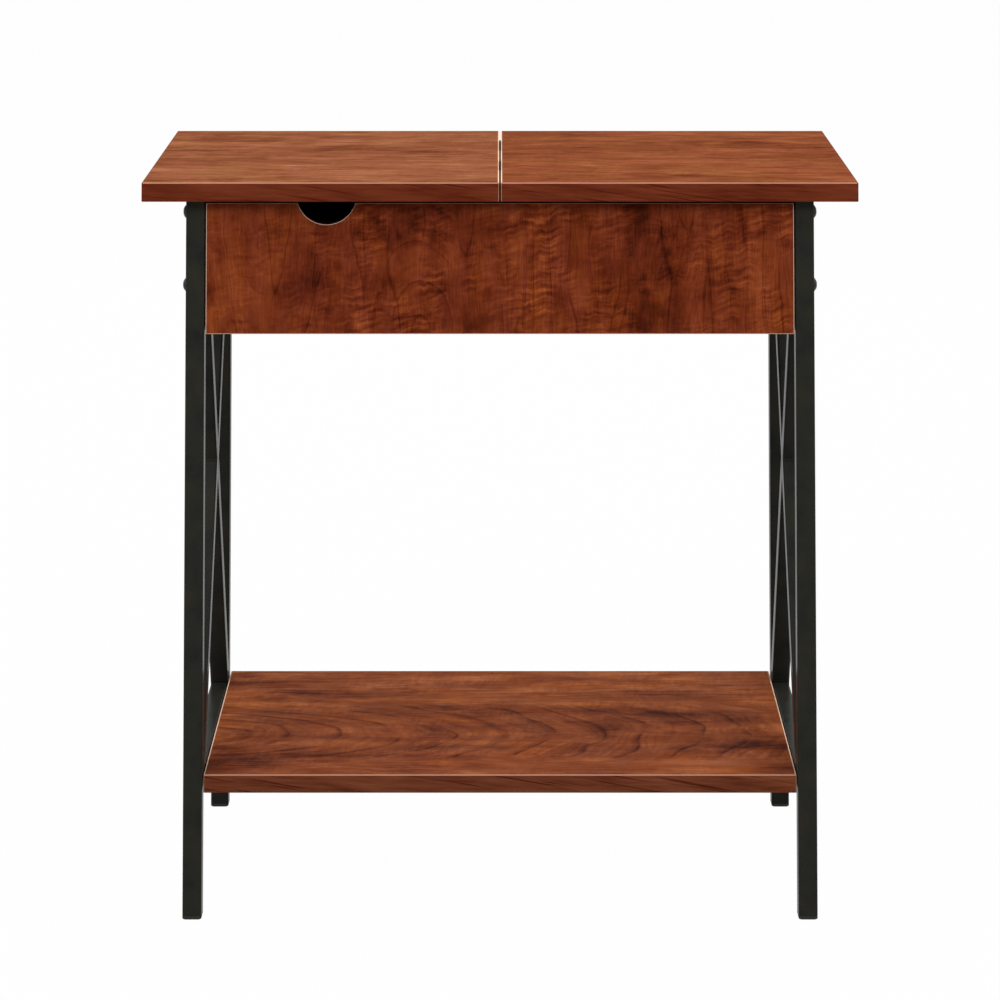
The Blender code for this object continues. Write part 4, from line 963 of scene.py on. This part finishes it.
def fastener_rings(length, shank, head, height, socket, depth, chamfer):
    """Dome-head fastener about its own Z, as (radius, height) at each angle: the floor and wall of the hex
    socket, the dome of a sphere from the socket's rim to the edge of the head, its seat, the shank and its
    tip."""
    angle = np.linspace(0.0, -2 * math.pi, ROUND, endpoint=False)
    hexed = hexagon(socket, angle)
    sphere = (head ** 2 + height ** 2) / (2 * height)
    spread = np.linspace(0.0, 1.0, DOME_STEPS + 1)[:, None]
    dome_radius = (hexed + SOCKET_RIM) * (1 - spread) + (head - HEAD_ROUND) * spread
    dome_height = height - (sphere - np.sqrt(sphere ** 2 - dome_radius ** 2))
    lip = dome_height[0] - SOCKET_LIP
    below_radius = np.array([head, head, shank, shank, shank - chamfer])
    below_height = np.array([HEAD_EDGE * height, 0.0, 0.0, chamfer - length, -length])
    flat = np.ones(ROUND)
    radius = np.vstack([hexed, hexed, dome_radius, np.outer(below_radius, flat)])
    level = np.vstack([(height - depth) * flat, lip, dome_height, np.outer(below_height, flat)])
    return np.stack([radius * np.cos(angle), radius * np.sin(angle), level], axis=2)


def laid_along(rings, run, seat):
    """Rings about their own Z, turned so that Z lies along a run and moved to a seat."""
    turn = np.array(Vector(run).to_track_quat("Z", "Y").to_matrix())
    return rings @ turn.T + np.asarray(seat)


def nut_shape(length, radius, slot, depth, proud):
    """Barrel nut about its own Z. Its end is cut into chords: on the chord at distance v from the middle,
    x runs from one side of the circle to the other, and chords in the slot lie lower. A skirt closes the
    side."""
    half = slot / 2
    v = np.array(NUT_CHORDS) * radius
    v = np.concatenate([v, [-half, -half, half, half], -v[::-1]])
    drop = np.where(np.abs(v) < half + NEAR, depth, 0.0)
    drop[np.argmin(np.abs(v + half))] = 0.0
    drop[len(v) - 1 - np.argmin(np.abs(v[::-1] - half))] = 0.0
    t = np.cos(np.linspace(math.pi, 0.0, NUT_STEPS + 1))
    chord = np.sqrt(np.maximum(radius ** 2 - v ** 2, 0.0))
    grid = np.stack([t[None, :] * chord[:, None], np.broadcast_to(v[:, None], (len(v), len(t))),
                     np.broadcast_to((proud - drop)[:, None], (len(v), len(t)))], axis=2)
    rows, columns = grid.shape[:2]
    index = np.arange(rows * columns).reshape(rows, columns)
    quads = np.stack([index[:-1, :-1], index[:-1, 1:], index[1:, 1:], index[1:, :-1]], axis=-1)
    rim = np.concatenate([index[0], index[1:, -1], index[-1, -2::-1], index[-2:0:-1, 0]])
    points = grid.reshape(-1, 3)
    skirt = points[rim] * (1, 1, 0) + (0, 0, -length)
    below = len(points) + np.arange(len(rim))
    sides = np.stack([rim, below, np.roll(below, -1), np.roll(rim, -1)], axis=-1)
    faces = quads.reshape(-1, 4).tolist() + sides.tolist() + [below[::-1].tolist()]
    return np.concatenate([points, skirt]), faces


def drive(node, sizes, run):
    """A dome-head fastener in place of a node, with its head at the far end of a run."""
    low, high = box_of(node)
    run = np.asarray(run, float)
    reach = (high - low) @ np.abs(run)
    seat = (low + high) / 2 + run * (reach / 2 - sizes["height"])
    rings = fastener_rings(reach - sizes["height"], **sizes)
    shape = lofted(laid_along(rings, run, seat))
    settle(f"{node}_dome", shape, "fastener", nodes=[node])


def fit_nut(node, way):
    """A barrel nut in place of a node, with its slotted face to the front or the rear, as way says."""
    low, high = box_of(node)
    length = high[1] - low[1]
    face = (low + high) / 2 + (0.0, way * length / 2, 0.0)
    points, faces = nut_shape(length, **NUT)
    shape = laid_along(points, (0, way, 0), face), faces
    settle(f"{node}_face", shape, "zinc", nodes=[node])


def build_fasteners():
    """Frame bolts, their barrel nuts, and the shelf and top screws."""
    for side, way in SIDES.items():
        for end, end_way in ENDS.items():
            for level in LEVELS:
                drive(f"{end}_{side}_{level}_bolt", BOLT, (way, 0, 0))
                fit_nut(f"{end}_{side}_{level}_barrel_nut", -end_way)
            drive(f"{end}_{side}_shelf_screw", SCREW, (way, 0, 0))
    for end in ENDS:
        drive(end + "_top_screw", SCREW, (0, 0, -1))


def knuckle_profile(way, face, roof):
    """Profile of a knuckle's strip about the pin: most of the way round the outer circle, back along the
    inner one, and down the neck to the leaf's face. Way is the side that the leaf lies on."""
    inner = PIN_RADIUS + PIN_PLAY
    curl = np.radians(np.linspace(0.0, KNUCKLE_CURL, KNUCKLE_STEPS + 1))[:, None]
    circle = np.hstack([np.cos(curl), np.sin(curl)])
    foot = roof - NECK_REACH
    neck = np.array([(inner, foot), (face, foot), (face, roof), (KNUCKLE_RADIUS, roof)])
    profile = np.vstack([KNUCKLE_RADIUS * circle, inner * circle[::-1], neck])
    return (profile * (way, 1.0))[::int(way)]


def hinge_leaf(end, leaf, board, body, way, turns, pin):
    """One leaf of a hinge and its two screws: a plate in its pocket, and strips that climb out of the seam
    and curl round the pin, drawn along Y at the turns of the knuckles that are the leaf's own."""
    node = f"{end}_hinge_{leaf}_leaf"
    low, high = box_of(board)
    face = (low if way > 0 else -high)[0] - SEAM_CREEP + LEAF_INSET
    floor, roof = low[2] + np.array(POCKET_LEVELS) + LEAF_PLAY * np.array([1, -1])
    profile = knuckle_profile(way, face, roof - pin[2])
    parts = []
    for turn in turns:
        ends = turn * KNUCKLE_PITCH + KNUCKLE_LENGTH / 2 * np.array([1.0, -1.0])
        rings = np.stack([np.insert(profile, 1, y, axis=1) for y in ends])
        parts.append(lofted(rings + pin))
    half = POCKET_LENGTH / 2 - LEAF_END_PLAY
    outline = rounded_outline((pin[1] - half, floor), (pin[1] + half, roof), LEAF_CORNER)
    back = face if way > 0 else -face - LEAF_THICKNESS
    parts.append(board_shape(outline, LEAF_THICKNESS, SIDEWAYS_AXES, (back, 0.0, 0.0), LEAF_EASE)[0])
    settle(node + "_curl", joined(parts), "hinge", body, [node])
    rings = fastener_rings(HINGE_SCREW_LENGTH, **HINGE_SCREW)
    seats = [(way * face, pin[1] + k * HINGE_SCREW_FROM_MIDDLE, (floor + roof) / 2) for k in (-1, 1)]
    screws = [lofted(laid_along(rings, (-way, 0, 0), seat)) for seat in seats]
    settle(f"{end}_hinge_{leaf}_screws", joined(screws), "hinge", body)


def build_hinges():
    """Butt hinges in the seam: two leaves, and a pin turned along Y with a rivet head at each end."""
    head = np.array(PIN_HEAD) * MM
    reach = 2.5 * KNUCKLE_PITCH
    radius = np.concatenate([head[:, 0], [PIN_RADIUS, PIN_RADIUS], head[::-1, 0]])
    level = np.concatenate([-reach - head[:, 1], [-reach, reach], reach + head[::-1, 1]])
    angle = np.linspace(0.0, 2 * math.pi, PIN_SIDES, endpoint=False)
    rod = np.stack([np.outer(radius, np.cos(angle)), np.outer(radius, np.sin(angle)),
                    np.outer(level, np.ones(len(angle)))], axis=2)
    for end in ENDS:
        node = end + "_hinge_pin"
        low, high = box_of(node)
        pin = (low + high) / 2
        hinge_leaf(end, "flap", "flip_top", "flap", -1.0, (-2, 0, 2), pin)
        hinge_leaf(end, "fixed", "fixed_top", "base", 1.0, (-1, 1), pin)
        shape = lofted(laid_along(rod, (0, 1, 0), pin))
        settle(node + "_rod", shape, "hinge", nodes=[node])


def dress_kept_nodes():
    """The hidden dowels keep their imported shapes."""
    for name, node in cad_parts.items():
        if "dowel" in name:
            for holder in node.material_slots:
                holder.material = FINISH["dowel"]


def seen_directly(tree):
    """One for what a camera, a mirror or glass sees, and zero for light on its way to a surface."""
    path = add(tree, "LightPath").node.outputs
    seen = path["Is Camera Ray"]
    for ray in ("Is Glossy Ray", "Is Transmission Ray"):
        seen = add(tree, "Math", {0: seen, 1: path[ray]}, operation="MAXIMUM")
    return seen


def build_stage():
    """White floor and world: cameras and mirrors see white, and the floor keeps a faint shadow."""
    mesh = bpy.data.meshes.new("studio_floor")
    corners = FLOOR_HALF * np.array([(-1, -1, 0), (1, -1, 0), (1, 1, 0), (-1, 1, 0)], float)
    mesh.from_pydata(corners.tolist(), [], [(0, 1, 2, 3)])
    material = bpy.data.materials.new("white_floor")
    material.use_nodes = True
    tree = material.node_tree
    tree.nodes.clear()
    share = add(tree, "Math", {0: seen_directly(tree), 1: FLOOR_WHITE}, operation="MULTIPLY")
    matt = add(tree, "BsdfDiffuse", {"Color": linear(FLOOR_TONE)})
    white = add(tree, "Emission", {"Color": (1, 1, 1, 1), "Strength": 1.0})
    surface = add(tree, "MixShader", {0: share, 1: matt, 2: white})
    tree.links.new(surface, tree.nodes.new("ShaderNodeOutputMaterial").inputs["Surface"])
    mesh.materials.append(material)
    in_scene("studio_floor", mesh)

    world = bpy.data.worlds.new("white_studio")
    bpy.context.scene.world = world
    world.use_nodes = True
    tree = world.node_tree
    tree.nodes.clear()
    strength = add(tree, "MapRange", {"Value": seen_directly(tree), "To Min": FILL_LIGHT, "To Max": 1.0})
    background = add(tree, "Background", {"Color": (1, 1, 1, 1), "Strength": strength})
    tree.links.new(background, tree.nodes.new("ShaderNodeOutputWorld").inputs["Surface"])


def softbox(name, spot, size, power):
    """Square area lamp at a spot, facing the table."""
    lamp = bpy.data.lights.new(name, "AREA")
    lamp.shape = "SQUARE"
    lamp.size = size
    lamp.energy = power
    holder = in_scene(name, lamp)
    holder.location = spot
    holder.rotation_euler = (Vector(LAMP_TARGET) - Vector(spot)).to_track_quat("-Z", "Y").to_euler()


def build_camera():
    """The photograph looks down on the table, yet its legs stand upright, as from a view camera whose back
    stays upright while its lens drops. So the camera's view axis leans down from its upright frame: its
    axes are sheared by the way it hangs on its stand."""
    drop = (FRAME_PIXELS / 2 - HORIZON_ROW) / FOCAL_PIXELS
    data = bpy.data.cameras.new("camera")
    data.sensor_width = SENSOR_WIDTH
    data.lens = SENSOR_WIDTH * FOCAL_PIXELS * math.hypot(1.0, drop) / FRAME_PIXELS
    data.clip_start, data.clip_end = 0.05, 50.0
    camera = in_scene("camera", data)
    stand = in_scene("camera_stand", None)
    camera.location = (0.0, -CAMERA_DISTANCE, CAMERA_HEIGHT)
    camera.rotation_euler = (math.pi / 2 + CAMERA_TILT, 0.0, 0.0)
    upright = Matrix.Translation(camera.location) @ Matrix.Rotation(math.pi / 2 + CAMERA_TILT, 4, "X")
    lean = Matrix.Identity(4)
    lean[1][2] = drop
    camera.parent = stand
    camera.matrix_parent_inverse = upright @ lean @ upright.inverted()
    bpy.context.scene.camera = camera


def main():
    """The camera, every piece of the table, and the studio with its lamps."""
    build_camera()
    build_boards()
    build_side_frames()
    build_feet()
    build_fasteners()
    build_hinges()
    dress_kept_nodes()
    build_stage()
    for name, spot, size, power in LAMPS:
        softbox(name, spot, size, power)
    bpy.context.scene.view_settings.view_transform = "Standard"


main()
